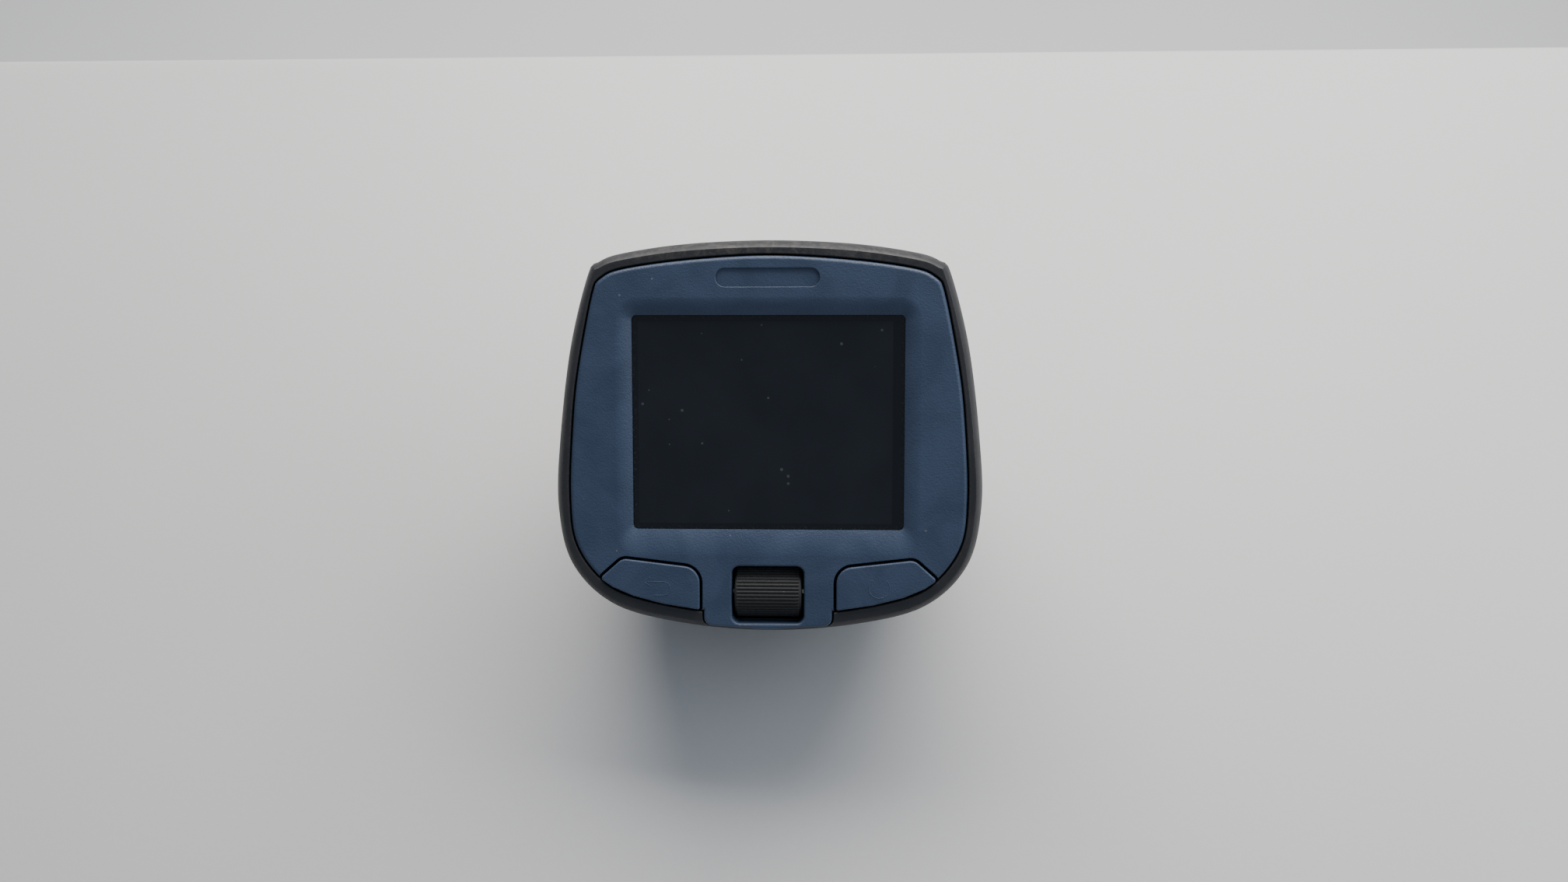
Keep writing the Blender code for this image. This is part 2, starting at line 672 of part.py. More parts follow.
def make_main_board():
    """Main circuit board with a notch for the wheel, two screws, and the parts on its back."""
    half = [
        (BOARD_HALF_WIDTH, 24), (BOARD_HALF_WIDTH, -13), (17, -26.8), (9.2, -27.5), (9.2, -20.3),
    ]
    outline = half + [(-x, y) for x, y in reversed(half)]
    board = flat("board", outline, BOARD_BACK, BOARD_FRONT)
    head_back = BOARD_BACK - GAP - 1.0
    for index, side in enumerate((-1, 1), 1):
        x = side * BOARD_SCREW_X
        cut(board, rod("hole", 0.9, (x, BOARD_SCREW_Y, -12), (x, BOARD_SCREW_Y, -7), 16))
        profile = [(0, 0), (1.5, 0), (1.5, 1), (0.6, 1), (0.6, 5.4), (0, 5.4)]
        screw = turned("screw", profile, (x, BOARD_SCREW_Y, head_back), (0, 0, 1), 16)
        low = head_back - 1
        cut(screw, block("slot", (x - 2, x + 2), (BOARD_SCREW_Y - 0.2, BOARD_SCREW_Y + 0.2),
                         (low, head_back + 0.4)))
        finished(screw, f"board_screw_{index}", STEEL)
    finished(board, "main_board", GREEN)
    back = BOARD_BACK - GAP
    finished(block("can", (-20, 4), (-8, 14), (back - 2.5, back)), "shield_can", STEEL)
    cell = rod("backup", 3.4, (-12, -14, back - 1.6), (-12, -14, back))
    finished(cell, "backup_cell", STEEL)
    antenna = block("antenna", (-7, 7), (19.6, 23.6), (back - 5, back))
    finished(antenna, "patch_antenna", CERAMIC)


def make_card():
    """Memory card in its spring slot on the back of the board."""
    back = BOARD_BACK - GAP
    slot = block("slot", (8, 22), (-4, 11), (back - 2.1, back))
    cut(slot, block("room", (9.1, 20.9), (-6, 10), (back - 1.6, back - 0.5)))
    finished(slot, "card_slot", STEEL)
    card = block("card", (9.5, 20.5), (-5.5, 9.6), (back - 1.4, back - 0.7))
    finished(card, "memory_card", BLACK)


def make_ports():
    """Small data socket and aerial jack, facing right through the shell."""
    front = BOARD_BACK - 0.5
    y = (USB_Y - USB_WIDTH / 2, USB_Y + USB_WIDTH / 2)
    end = PORT_FLOOR_X - 0.1
    usb = block("usb", (end - 9, end), y, (front - USB_HEIGHT, front))
    room_y = (y[0] + 0.4, y[1] - 0.4)
    cut(usb, block("mouth", (end - 6, end + 1), room_y, (front - USB_HEIGHT + 0.4, front - 0.4)))
    middle = front - USB_HEIGHT / 2
    tongue = block("t", (end - 7, end - 1), (y[0] + 1.4, y[1] - 1.4), (middle - 0.4, middle + 0.4))
    finished(join(usb, tongue), "usb_connector", STEEL)
    jack = rod("jack", JACK_RADIUS, (end - 7, JACK_Y, JACK_Z), (end, JACK_Y, JACK_Z))
    base = block("base", (end - 7.6, end - 4), (JACK_Y - 2.6, JACK_Y + 2.6), (JACK_Z, front))
    join(jack, base)
    cut(jack, rod("bore", 1.2, (end - 5, JACK_Y, JACK_Z), (end + 1, JACK_Y, JACK_Z), 16))
    finished(jack, "antenna_jack", GOLD)


def make_port_cover():
    """Rubber flap that closes the port recess and follows the skin."""
    y = (COVER_LOW_Y, COVER_HIGH_Y)
    cover = block("cover", (PORT_FLOOR_X + GAP, 60), y, (COVER_BACK, COVER_FRONT))
    common(cover, egg("skin", SEAM_DEPTH))
    hinge = (surround_outline[:, 0].max() + 0.15, sum(y) / 2, COVER_BACK - GAP / 2)
    reach = COVER_FRONT - hinge[2] + GAP / 2
    common(cover, rod("swing", reach, (hinge[0], -60, hinge[2]), (hinge[0], 60, hinge[2]), 96))
    finished(cover, "port_cover", RUBBER, hinge)


# ---------------------------------------------------------------- cells

def make_cell(name, y, side):
    """One AA cell along x, with its plus end to the given side."""
    body = CELL_LENGTH - CELL_NUB
    radius = CELL_RADIUS
    profile = [
        (0, 0), (radius - 0.4, 0), (radius, 0.4), (radius, body - 0.4), (radius - 0.4, body),
        (2.75, body), (2.75, CELL_LENGTH), (0, CELL_LENGTH),
    ]
    base = (-side * body / 2, y, CELL_Z)
    finished(turned(name, profile, base, (side, 0, 0), 32), name, CELL)


def make_spring(name, y, side):
    """Flat coil spring between a contact plate and a cell's minus end."""
    turns = 2.5
    count = 30
    first = CONTACT_FACE_X - SPRING_WIRE_RADIUS - GAP / 2
    last = (CELL_LENGTH - CELL_NUB) / 2 + SPRING_WIRE_RADIUS + GAP / 2
    curve = bpy.data.curves.new(name, "CURVE")
    curve.dimensions = "3D"
    curve.bevel_depth = SPRING_WIRE_RADIUS * MM
    curve.bevel_resolution = 2
    curve.use_fill_caps = True
    spline = curve.splines.new("POLY")
    spline.points.add(count)
    for index, point in enumerate(spline.points):
        share = index / count
        angle = math.tau * turns * share
        radius = 4.6 - 2.3 * share
        x = side * (first + (last - first) * share)
        place = (x, y + radius * math.cos(angle), CELL_Z + radius * math.sin(angle))
        point.co = (*[value * MM for value in place], 1)
    finished(curve_mesh(name, curve), name, STEEL)


def make_battery_bay():
    """Tray that cradles both cells, with the contact plates at its ends."""
    half_y = CELL_SPACING / 2
    room_x = CONTACT_FACE_X + CONTACT_THICKNESS + GAP
    tray_x = room_x + 0.7
    tray_y = half_y + CELL_RADIUS + TRAY_WALL
    top = CELL_Z + CELL_RADIUS + TRAY_WALL
    tray = block("tray", (-tray_x, tray_x), (-tray_y, tray_y), (CELL_Z + 1.5, top))
    for side in (-1, 1):
        wall_x = sorted((side * room_x, side * tray_x))
        join(tray, block("end", wall_x, (-9, 9), (CELL_Z - 4, CELL_Z + 3)))
    for y in (-half_y, half_y):
        cut(tray, rod("cradle", CELL_RADIUS + 0.35, (-room_x, y, CELL_Z), (room_x, y, CELL_Z), 32))
    finished(tray, "battery_tray", BLACK)
    make_cell("battery_upper", half_y, 1)
    make_cell("battery_lower", -half_y, -1)
    make_spring("battery_spring_upper", half_y, -1)
    make_spring("battery_spring_lower", -half_y, 1)
    for name, side in (("contact_left", -1), ("contact_right", 1)):
        plate_x = sorted((side * CONTACT_FACE_X, side * (CONTACT_FACE_X + CONTACT_THICKNESS)))
        plate = block(name, plate_x, (-half_y - 5, half_y + 5), (CELL_Z - 3.5, CELL_Z + 1.2))
        finished(plate, name, STEEL)


# ---------------------------------------------------------------- speaker

def make_speaker():
    """Round speaker over the grille in the chin of the rear shell."""
    bottom = SPEAKER_TOP_Y - SPEAKER_HEIGHT
    radius = SPEAKER_RADIUS
    profile = [
        (0, 0), (4.5, 0), (4.5, 2), (radius, 3.2), (radius, SPEAKER_HEIGHT),
        (radius - 1.2, SPEAKER_HEIGHT), (radius - 1.2, 3.6), (0, 3.0),
    ]
    frame = turned("frame", profile, (0, SPEAKER_TOP_Y, SPEAKER_Z), (0, -1, 0), 32)
    finished(frame, "speaker_frame", BLACK)
    cone = [(0, 0), (3, 0.1), (radius - 1.6, 1.0), (radius - 1.6, 1.3), (3, 0.5), (0, 0.9)]
    diaphragm = turned("cone", cone, (0, bottom + 1.5, SPEAKER_Z), (0, -1, 0), 24)
    finished(diaphragm, "speaker_cone", WHITE)


# ---------------------------------------------------------------- rear shell

def grille_slots():
    """Slots of the speaker grille, shorter towards the sides to fill a round field."""
    slots = []
    for step in range(-3, 4):
        x = step * 2.4
        reach = math.sqrt((SPEAKER_RADIUS - 1.5) ** 2 - x**2)
        z = (SPEAKER_Z - reach, SPEAKER_Z + reach)
        slots.append(block("slot", (x - 0.6, x + 0.6), (-CLEAR, SPEAKER_TOP_Y - 5.3), z))
    return slots


def make_rear_shell():
    """Egg-shaped back: rim groove, port recess, battery opening, speaker grille, foot and socket."""
    shell = egg("shell", SEAM_DEPTH)
    hollow = egg("hollow", SEAM_DEPTH - 2, WALL)
    cut(
        hollow,
        block("foot_floor", (-CLEAR, CLEAR), (-CLEAR, 2 * CLEAR), (-80, FOOT_U + WALL), True),
        block("top_ledge", (-CLEAR, CLEAR), (27, 60), (DOOR_TOP_U - 0.5, DOOR_TOP_U + 2.2), True),
        block("low_ledge", (-CLEAR, CLEAR), (22, 60), (DOOR_BOTTOM_U - 2.2, DOOR_BOTTOM_U + 0.5), True),
        block("port_pad", (PORT_FLOOR_X - 2.9, 60), (COVER_LOW_Y - 1.5, COVER_HIGH_Y + 1.5), (-18.5, 0)),
    )
    boss_end = DOOR_PLANE_V - GAP
    rib = block("rib", (-3, 3), (22, boss_end), (DOOR_BOTTOM_U - 1, STUD_U), True)
    boss = rod("boss", 3.4, standing(0, 22, STUD_U), standing(0, boss_end, STUD_U))
    cut(hollow, rib, boss)
    for side in (-1, 1):
        x = side * CASE_SCREW_X
        cut(hollow, rod("well_wall", 3.5, (x, CASE_SCREW_Y, -60), (x, CASE_SCREW_Y, -2)))
    cut(shell, hollow)
    cut(shell, block("foot", (-CLEAR, CLEAR), (-CLEAR, 2 * CLEAR), (-80, FOOT_U), True))
    door_room = block(
        "door_room", (-CLEAR, CLEAR), (DOOR_PLANE_V - GAP / 2, 80), (DOOR_BOTTOM_U, DOOR_TOP_U), True
    )
    cut(shell, door_room)
    reach = HINGE_HALF_MIDDLE + GAP
    cut(shell, rod("room", HINGE_RADIUS + 0.35, standing(-reach, HINGE_V, HINGE_U),
                   standing(reach, HINGE_V, HINGE_U)))
    for side in (-1, 1):
        near = standing(side * (HINGE_HALF_MIDDLE + 0.4), HINGE_V, HINGE_U)
        far = standing(side * HINGE_HALF_LENGTH, HINGE_V, HINGE_U)
        join(shell, rod("knuckle", HINGE_RADIUS, near, far))
    end = HINGE_HALF_LENGTH + 2
    cut(shell, rod("pin_bore", HINGE_PIN_RADIUS + 0.15, standing(-end, HINGE_V, HINGE_U),
                   standing(end, HINGE_V, HINGE_U), 16))
    bore_end = standing(0, DOOR_PLANE_V - 4, STUD_U)
    cut(shell, rod("stud_bore", STUD_RADIUS + 0.75, bore_end, standing(0, 40, STUD_U), 20))
    groove = ring("groove", grown(surround_outline, -0.7), grown(surround_outline, -1.7),
                  -SEAM_DEPTH - 0.85, -SEAM_DEPTH + 1)
    cut(shell, groove)
    for side in (-1, 1):
        x = side * CASE_SCREW_X
        cut(
            shell,
            rod("well", 2.3, (x, CASE_SCREW_Y, -70), (x, CASE_SCREW_Y, CASE_SCREW_SEAT), 20),
            rod("hole", 1.1, (x, CASE_SCREW_Y, -20), (x, CASE_SCREW_Y, 0), 16),
        )
    cut_ports(shell)
    cut(shell, *grille_slots())
    socket_top = standing(0, FOOT_V, FOOT_U + WALL + 4)
    socket_reach = BALL_RADIUS + 0.2 + SOCKET_WALL + GAP
    cut(shell, rod("socket", socket_reach, standing(0, FOOT_V, FOOT_U - 5), socket_top, 40))
    for x, v in foot_places():
        top = standing(x, v, FOOT_U + FOOT_PAD_SUNK + GAP)
        cut(shell, rod("pad", FOOT_PAD_RADIUS + GAP, standing(x, v, FOOT_U - 5), top))
    finished(shell, "rear_shell", BLACK)


def cut_ports(shell):
    """Recess for the rubber flap and the two port openings in its floor."""
    y = (COVER_LOW_Y - GAP, COVER_HIGH_Y + GAP)
    front = BOARD_BACK - 0.5
    usb_y = (USB_Y - USB_WIDTH / 2 - GAP, USB_Y + USB_WIDTH / 2 + GAP)
    usb_z = (front - USB_HEIGHT - GAP, front + 0.2)
    end = PORT_FLOOR_X - 0.1
    jack_y = (JACK_Y - 2.6 - GAP, JACK_Y + 2.6 + GAP)
    cut(
        shell,
        block("recess", (PORT_FLOOR_X, 60), y, (COVER_BACK - GAP, COVER_FRONT + GAP)),
        block("usb_hole", (20, PORT_FLOOR_X + 1), usb_y, usb_z),
        rod("jack_hole", JACK_RADIUS + GAP, (20, JACK_Y, JACK_Z), (40, JACK_Y, JACK_Z)),
        block("jack_base_room", (20, end - 4 + GAP), jack_y, (JACK_Z, -8)),
    )


def foot_places():
    return [
        (x, FOOT_V + v) for x in (-FOOT_PAD_X, FOOT_PAD_X) for v in (-FOOT_PAD_V, FOOT_PAD_V)
    ]


def make_feet():
    """Four rubber pads under the foot, and the ball socket between them."""
    for index, (x, v) in enumerate(foot_places(), 1):
        low = standing(x, v, FOOT_U - FOOT_PAD_PROUD)
        high = standing(x, v, FOOT_U + FOOT_PAD_SUNK)
        finished(rod("pad", FOOT_PAD_RADIUS, low, high), f"foot_pad_{index}", RUBBER)
    inner = BALL_RADIUS + 0.2
    outer = inner + SOCKET_WALL
    depth = math.sqrt(inner**2 - SOCKET_MOUTH_RADIUS**2)
    opening = math.asin(SOCKET_MOUTH_RADIUS / inner)
    profile = [(0, depth + inner)]
    for step in range(1, 9):
        angle = math.pi - (math.pi - opening) * step / 8
        profile.append((inner * math.sin(angle), depth - inner * math.cos(angle)))
    profile += [(outer, 0), (outer, depth)]
    for step in range(1, 6):
        angle = math.pi / 2 * step / 6
        profile.append((outer * math.cos(angle), depth + outer * math.sin(angle)))
    profile.append((0, depth + outer))
    base = standing(0, FOOT_V, FOOT_U)
    up = standing(0, 0, 1)
    finished(turned("socket", profile, base, up, 36), "ball_socket", BLACK)


def make_case_screws():
    """Two long screws in deep wells that hold the shell to the surround."""
    for name, side in (("case_screw_left", -1), ("case_screw_right", 1)):
        x = side * CASE_SCREW_X
        head = CASE_SCREW_SEAT - GAP - 1.4
        profile = [(0, 0), (1.9, 0), (1.9, 1.4), (0.8, 1.4), (0.8, 9.4), (0, 9.4)]
        screw = turned(name, profile, (x, CASE_SCREW_Y, head), (0, 0, 1), 20)
        for bar in ((1.3, 0.25), (0.25, 1.3)):
            cut(screw, block("cross", (x - bar[0], x + bar[0]),
                             (CASE_SCREW_Y - bar[1], CASE_SCREW_Y + bar[1]), (head - 1, head + 0.7)))
        finished(screw, name, STEEL)


# ---------------------------------------------------------------- battery door

def door_swing(reach):
    """The room in which the door turns past the sill below it: a cylinder round the hinge."""
    start = standing(-CLEAR - 10, HINGE_V, HINGE_U)
    return rod("swing", reach, start, standing(CLEAR + 10, HINGE_V, HINGE_U), 160)


def make_door():
    """Domed cover over the cells, hinged along its top edge, with a coin-slot stud at its foot."""
    low = DOOR_BOTTOM_U + GAP
    high = DOOR_TOP_U - GAP
    door = egg("door", SEAM_DEPTH)
    common(door, block("b", (-CLEAR, CLEAR), (DOOR_PLANE_V + GAP / 2, 80), (low, high), True))
    hollow = egg("hollow", SEAM_DEPTH, DOOR_WALL)
    common(hollow, block("b", (-CLEAR, CLEAR), (20, 80), (low + DOOR_WALL, high - DOOR_WALL), True))
    sill = math.hypot(HINGE_V - back_skin(DOOR_BOTTOM_U), HINGE_U - DOOR_BOTTOM_U)
    common(door, door_swing(sill - GAP))
    common(hollow, door_swing(sill - GAP - DOOR_WALL))
    boss = rod("boss", 3.4, standing(0, 15, STUD_U), standing(0, 60, STUD_U))
    cut(door, cut(hollow, boss))
    axis = (HINGE_V, HINGE_U)
    reach = HINGE_HALF_MIDDLE + GAP
    join(door, rod("middle", HINGE_RADIUS, standing(-reach, *axis), standing(reach, *axis)))
    for side in (-1, 1):
        near = standing(side * HINGE_HALF_MIDDLE, *axis)
        far = standing(side * (HINGE_HALF_LENGTH + 0.4), *axis)
        cut(door, rod("room", HINGE_RADIUS + 0.35, near, far))
    end = HINGE_HALF_LENGTH + 2
    cut(door, rod("pin_bore", HINGE_PIN_RADIUS + 0.15, standing(-end, *axis),
                  standing(end, *axis), 16))
    skin = back_skin(STUD_U)
    seat = skin - 1.7
    cut(
        door,
        rod("recess", STUD_HEAD_RADIUS + GAP, standing(0, seat, STUD_U), standing(0, 60, STUD_U), 28),
        rod("hole", STUD_RADIUS + GAP, standing(0, 20, STUD_U), standing(0, 60, STUD_U), 20),
    )
    hinge = standing(0, *axis)
    finished(door, "battery_door", BLACK, hinge)
    pin = rod("pin", HINGE_PIN_RADIUS, standing(-HINGE_HALF_LENGTH + 0.3, *axis),
              standing(HINGE_HALF_LENGTH - 0.3, *axis), 16)
    finished(pin, "hinge_pin", STEEL, hinge)
    tip = DOOR_PLANE_V - GAP - STUD_ENGAGEMENT
    under_head = seat + 0.25
    top = skin + 0.1
    profile = [
        (0, 0), (STUD_RADIUS, 0), (STUD_RADIUS, under_head - tip),
        (STUD_HEAD_RADIUS, under_head - tip), (STUD_HEAD_RADIUS, top - tip), (0, top - tip),
    ]
    stud = turned("stud", profile, standing(0, tip, STUD_U), standing(0, 1, 0), 28)
    cut(stud, block("coin", (-2.6, 2.6), (top - 0.9, top + 2), (STUD_U - 0.5, STUD_U + 0.5), True))
    finished(stud, "door_stud", STEEL, standing(0, top, STUD_U))


# ---------------------------------------------------------------- the whole device

def settle():
    """Moves the device frame so that the pads stand on z = 0 and the box is centred on x and y."""
    bpy.context.view_layer.update()
    corners = []
    for piece in parts.objects:
        if piece.type == "MESH":
            matrix = np.array(piece.matrix_world)
            count = len(piece.data.vertices)
            points = np.empty(count * 3, np.float32)
            piece.data.vertices.foreach_get("co", points)
            points = points.reshape(-1, 3) @ matrix[:3, :3].T + matrix[:3, 3]
            corners += [points.min(axis=0), points.max(axis=0)]
    low = np.min(corners, axis=0)
    high = np.max(corners, axis=0)
    middle = (low + high) / 2
    device.location = (-middle[0], -middle[1], -low[2])
    bpy.context.view_layer.update()


make_bezel()
make_display()
make_key("back_button", -1)
make_key("power_button", 1)
make_keypad()
make_wheel()
make_wheel_carrier()
make_surround()
make_main_gasket()
make_main_board()
make_card()
make_ports()
make_port_cover()
make_battery_bay()
make_speaker()
make_rear_shell()
make_feet()
make_case_screws()
make_door()
settle()
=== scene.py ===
"""The looks of a palm-size cycling navigator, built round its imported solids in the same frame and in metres.

Each section makes one piece of the device, in the order in which it is put together. The pieces are drawn
in millimetres in the device's own frame: x to the right, y up the face and z out of the face.
"""

import math

import bmesh
import bpy
import numpy as np
from mathutils import Matrix, Vector


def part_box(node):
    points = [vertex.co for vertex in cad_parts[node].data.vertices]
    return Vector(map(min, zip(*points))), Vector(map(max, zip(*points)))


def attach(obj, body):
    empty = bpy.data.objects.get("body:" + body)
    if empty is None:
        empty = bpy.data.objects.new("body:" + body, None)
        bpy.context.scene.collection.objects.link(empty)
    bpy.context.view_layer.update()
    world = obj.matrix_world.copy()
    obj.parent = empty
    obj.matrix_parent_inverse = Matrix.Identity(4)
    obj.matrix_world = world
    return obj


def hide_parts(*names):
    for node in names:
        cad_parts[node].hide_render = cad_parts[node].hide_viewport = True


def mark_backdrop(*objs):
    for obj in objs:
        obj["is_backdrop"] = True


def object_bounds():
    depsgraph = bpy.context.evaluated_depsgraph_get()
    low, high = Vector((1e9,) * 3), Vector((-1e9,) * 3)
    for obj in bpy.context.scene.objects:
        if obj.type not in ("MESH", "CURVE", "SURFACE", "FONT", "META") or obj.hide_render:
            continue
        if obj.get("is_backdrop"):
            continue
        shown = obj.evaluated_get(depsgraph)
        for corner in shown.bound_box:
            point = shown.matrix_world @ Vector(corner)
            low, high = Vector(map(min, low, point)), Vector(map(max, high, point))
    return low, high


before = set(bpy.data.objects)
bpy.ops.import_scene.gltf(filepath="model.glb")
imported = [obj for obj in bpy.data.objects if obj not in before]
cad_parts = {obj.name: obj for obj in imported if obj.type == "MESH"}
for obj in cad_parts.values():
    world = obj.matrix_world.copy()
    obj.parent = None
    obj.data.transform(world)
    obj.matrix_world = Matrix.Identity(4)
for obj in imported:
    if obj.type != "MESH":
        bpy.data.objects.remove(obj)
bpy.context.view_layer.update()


# ---------------------------------------------------------------- front bezel
# One moulded plate of satin blue plastic, 3 mm thick, with a rolled rim, a sloped frame down to the window
# and a tongue that carries the thumb wheel. It drops into the rubber surround and is held by clips behind.

MM = 0.001
LEAN = math.radians(33.0)
WHEEL_CENTRE = Vector((0, -26.4, -4.0))
axle_low, axle_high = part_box("wheel_axle")
axle_centre = (Vector(axle_low) + Vector(axle_high)) / 2
DEVICE = (
    Matrix.Translation(axle_centre) @ Matrix.Rotation(LEAN, 4, "X")
    @ Matrix.Translation(-WHEEL_CENTRE * MM) @ Matrix.Scale(MM, 4)
)
BEZEL_THICKNESS = 3.0
BEZEL_ROLL = 0.75
BEZEL_HALF = (
    (0, 29.7), (13, 29), (23.5, 27.6), (27.3, 26.1), (28.9, 23.3), (31.5, 10), (32.5, 0),
    (32.9, -10), (32, -17.8), (28, -23.75), (22.5, -26.8), (11.4, -29.05), (0, -29.9),
)
WINDOW_WIDTH = 45.1
WINDOW_HEIGHT = 35.6
WINDOW_Y = 2.24
WINDOW_SINK = 1.05
WINDOW_SLOPES = (2.0, 2.2, 3.3)
TONGUE_WIDTH = 21.4
TONGUE_BOTTOM = -32.3
WHEEL_WINDOW = (12.0, 9.65)
KEY_GAP = 0.45
KEY_CORNERS = (
    (28.1, -23.75, 0.5), (24.3, -20.4, 1.9), (11.4, -21.9, 2.8), (11.4, -28.95, 0.3),
    (17.5, -28.0, 0), (22.5, -26.7, 0), (26.0, -25.2, 0),
)


def closed_spline(points, count):
    """An even closed outline of count points, drawn smoothly through the points."""
    ring = np.array(points, float)
    before = np.roll(ring, 1, axis=0)
    after = np.roll(ring, -1, axis=0)
    beyond = np.roll(ring, -2, axis=0)
    steps = np.linspace(0, 1, 40, endpoint=False)[:, None]
    curve = []
    for a, b, c, d in zip(before, ring, after, beyond):
        part = 2 * b + (c - a) * steps
        part = part + (2 * a - 5 * b + 4 * c - d) * steps**2
        part = part + (3 * b - a - 3 * c + d) * steps**3
        curve.append(part / 2)
    return evened(np.vstack(curve), count)


def evened(outline, count):
    """The same closed outline with evenly spaced points."""
    loop = np.vstack([outline, outline[:1]])
    length = np.concatenate([[0], np.cumsum(np.linalg.norm(np.diff(loop, axis=0), axis=1))])
    wanted = np.linspace(0, length[-1], count, endpoint=False)
    return np.column_stack([np.interp(wanted, length, loop[:, axis]) for axis in (0, 1)])


def mirrored(half):
    """Both halves of an outline whose first and last points lie on its middle line."""
    left = [(-x, y) for x, y in reversed(half[1:-1])]
    return list(half) + left


def grown(outline, distance):
    """The outline moved outwards by the distance, or inwards where it is negative."""
    loop = np.array(outline, float)
    ahead = np.roll(loop, -1, axis=0) - loop
    ahead /= np.linalg.norm(ahead, axis=1)[:, None]
    behind = np.roll(ahead, 1, axis=0)
    x, y = loop[:, 0], loop[:, 1]
    area = np.sum(x * np.roll(y, -1) - np.roll(x, -1) * y)
    side = np.column_stack([ahead[:, 1] + behind[:, 1], -ahead[:, 0] - behind[:, 0]])
    side /= (1 + np.sum(ahead * behind, axis=1))[:, None]
    return loop + side * distance * (1 if area > 0 else -1)


def rounded(corners, steps=10):
    """An outline with its (x, y, radius) corners rounded by arcs."""
    outline = []
    for index, (x, y, radius) in enumerate(corners):
        corner = Vector((x, y))
        if radius == 0:
            outline.append(tuple(corner))
            continue
        inward = (Vector(corners[index - 1][:2]) - corner).normalized()
        outward = (Vector(corners[(index + 1) % len(corners)][:2]) - corner).normalized()
        half_angle = inward.angle(outward) / 2
        centre = corner + (inward + outward).normalized() * radius / math.sin(half_angle)
        first = corner + inward * radius / math.tan(half_angle) - centre
        sweep = first.angle_signed(corner + outward * radius / math.tan(half_angle) - centre)
        for step in range(steps + 1):
            turn = Matrix.Rotation(-sweep * step / steps, 2)
            outline.append(tuple(centre + turn @ first))
    return np.array(outline)


def rounded_box(left, right, low, high, radius, steps=8):
    corners = [(right, high), (left, high), (left, low), (right, low)]
    return rounded([(x, y, radius) for x, y in corners], steps)


def level(outline, z):
    return np.column_stack([outline, np.full(len(outline), float(z))])


def lofted(name, sections, looped=False):
    """A closed mesh through sections of equal point counts: its ends are capped, or looped to each other.

    Its walls are triangles, because a Boolean needs flat faces.
    """
    count = len(sections[0])
    rows = len(sections)
    faces = []
    for row in range(rows if looped else rows - 1):
        near = row * count
        far = (row + 1) % rows * count
        for index in range(count):
            following = (index + 1) % count
            faces.append((near + index, near + following, far + following, far + index))
    if not looped:
        faces.append(tuple(range(count)))
        faces.append(tuple(range((rows - 1) * count, rows * count)))
    mesh = bpy.data.meshes.new(name)
    mesh.from_pydata(np.vstack(sections), [], faces)
    shape = bmesh.new()
    shape.from_mesh(mesh)
    bmesh.ops.triangulate(shape, faces=[face for face in shape.faces if len(face.verts) == 4])
    bmesh.ops.recalc_face_normals(shape, faces=shape.faces)
    shape.to_mesh(mesh)
    shape.free()
    made = bpy.data.objects.new(name, mesh)
    bpy.context.scene.collection.objects.link(made)
    return made


def plate(name, outline, back, front, roll, steps=6):
    """A flat piece whose front edge is rolled over."""
    sections = [level(outline, back)]
    for step in range(steps + 1):
        angle = math.pi / 2 * step / steps
        height = front - roll * (1 - math.sin(angle))
        sections.append(level(grown(outline, -roll * (1 - math.cos(angle))), height))
    return lofted(name, sections)


def opening(name, outline, back, front, lip, steps=5):
    """A cutter with a flared front, which leaves a rounded lip round the opening."""
    sections = [level(outline, back)]
    for step in range(steps + 1):
        angle = math.pi / 2 * step / steps
        height = front - lip * (1 - math.sin(angle))
        sections.append(level(grown(outline, lip * (1 - math.cos(angle))), height))
    sections.append(level(grown(outline, lip + 0.8), front + 0.8))
    return lofted(name, sections)


def baked(piece):
    """The piece with its modifiers worked into its mesh."""
    graph = bpy.context.evaluated_depsgraph_get()
    mesh = bpy.data.meshes.new_from_object(piece.evaluated_get(graph))
    piece.modifiers.clear()
    piece.data = mesh
    return piece


def combined(piece, operation, others):
    for other in others:
        modifier = piece.modifiers.new(operation.lower(), "BOOLEAN")
        modifier.operation = operation
        modifier.solver = "EXACT"
        modifier.object = other
        baked(piece)
        bpy.data.objects.remove(other, do_unlink=True)
    return piece


def cut(piece, *others):
    return combined(piece, "DIFFERENCE", others)


def join(piece, *others):
    return combined(piece, "UNION", others)


def common(piece, *others):
    return combined(piece, "INTERSECT", others)


def seated(piece, name, body, material, nodes=(), sharp=34):
    """Shades the piece, sets it in its place on the device and puts it on its body."""
    piece.name = name
    piece.data.name = name
    piece.data.materials.clear()
    piece.data.materials.append(material)
    piece.data.shade_smooth()
    piece.data.set_sharp_from_angle(angle=math.radians(sharp))
    modifier = piece.modifiers.new("even_shading", "WEIGHTED_NORMAL")
    modifier.keep_sharp = True
    baked(piece)
    piece.data.transform(DEVICE)
    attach(piece, body)
    if nodes:
        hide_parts(*nodes)
    return piece


def node(tree, kind, settings=None, inputs=None):
    """Adds a node with its settings; an input is a value, a socket, or a node whose first output it takes."""
    made = tree.nodes.new(kind)
    for key, value in (settings or {}).items():
        setattr(made, key, value)
    for key, value in (inputs or {}).items():
        if isinstance(value, bpy.types.Node):
            tree.links.new(value.outputs[0], made.inputs[key])
        elif isinstance(value, bpy.types.NodeSocket):
            tree.links.new(value, made.inputs[key])
        else:
            made.inputs[key].default_value = value
    return made


def ramp(tree, value, low, high, out_low=0.0, out_high=1.0):
    """A smooth step of the value from low to high."""
    return node(tree, "ShaderNodeMapRange", {"interpolation_type": "SMOOTHSTEP"}, {
        "Value": value, "From Min": low, "From Max": high, "To Min": out_low, "To Max": out_high,
    })


def math_node(tree, operation, first, second=0.0):
    return node(tree, "ShaderNodeMath", {"operation": operation}, {0: first, 1: second})


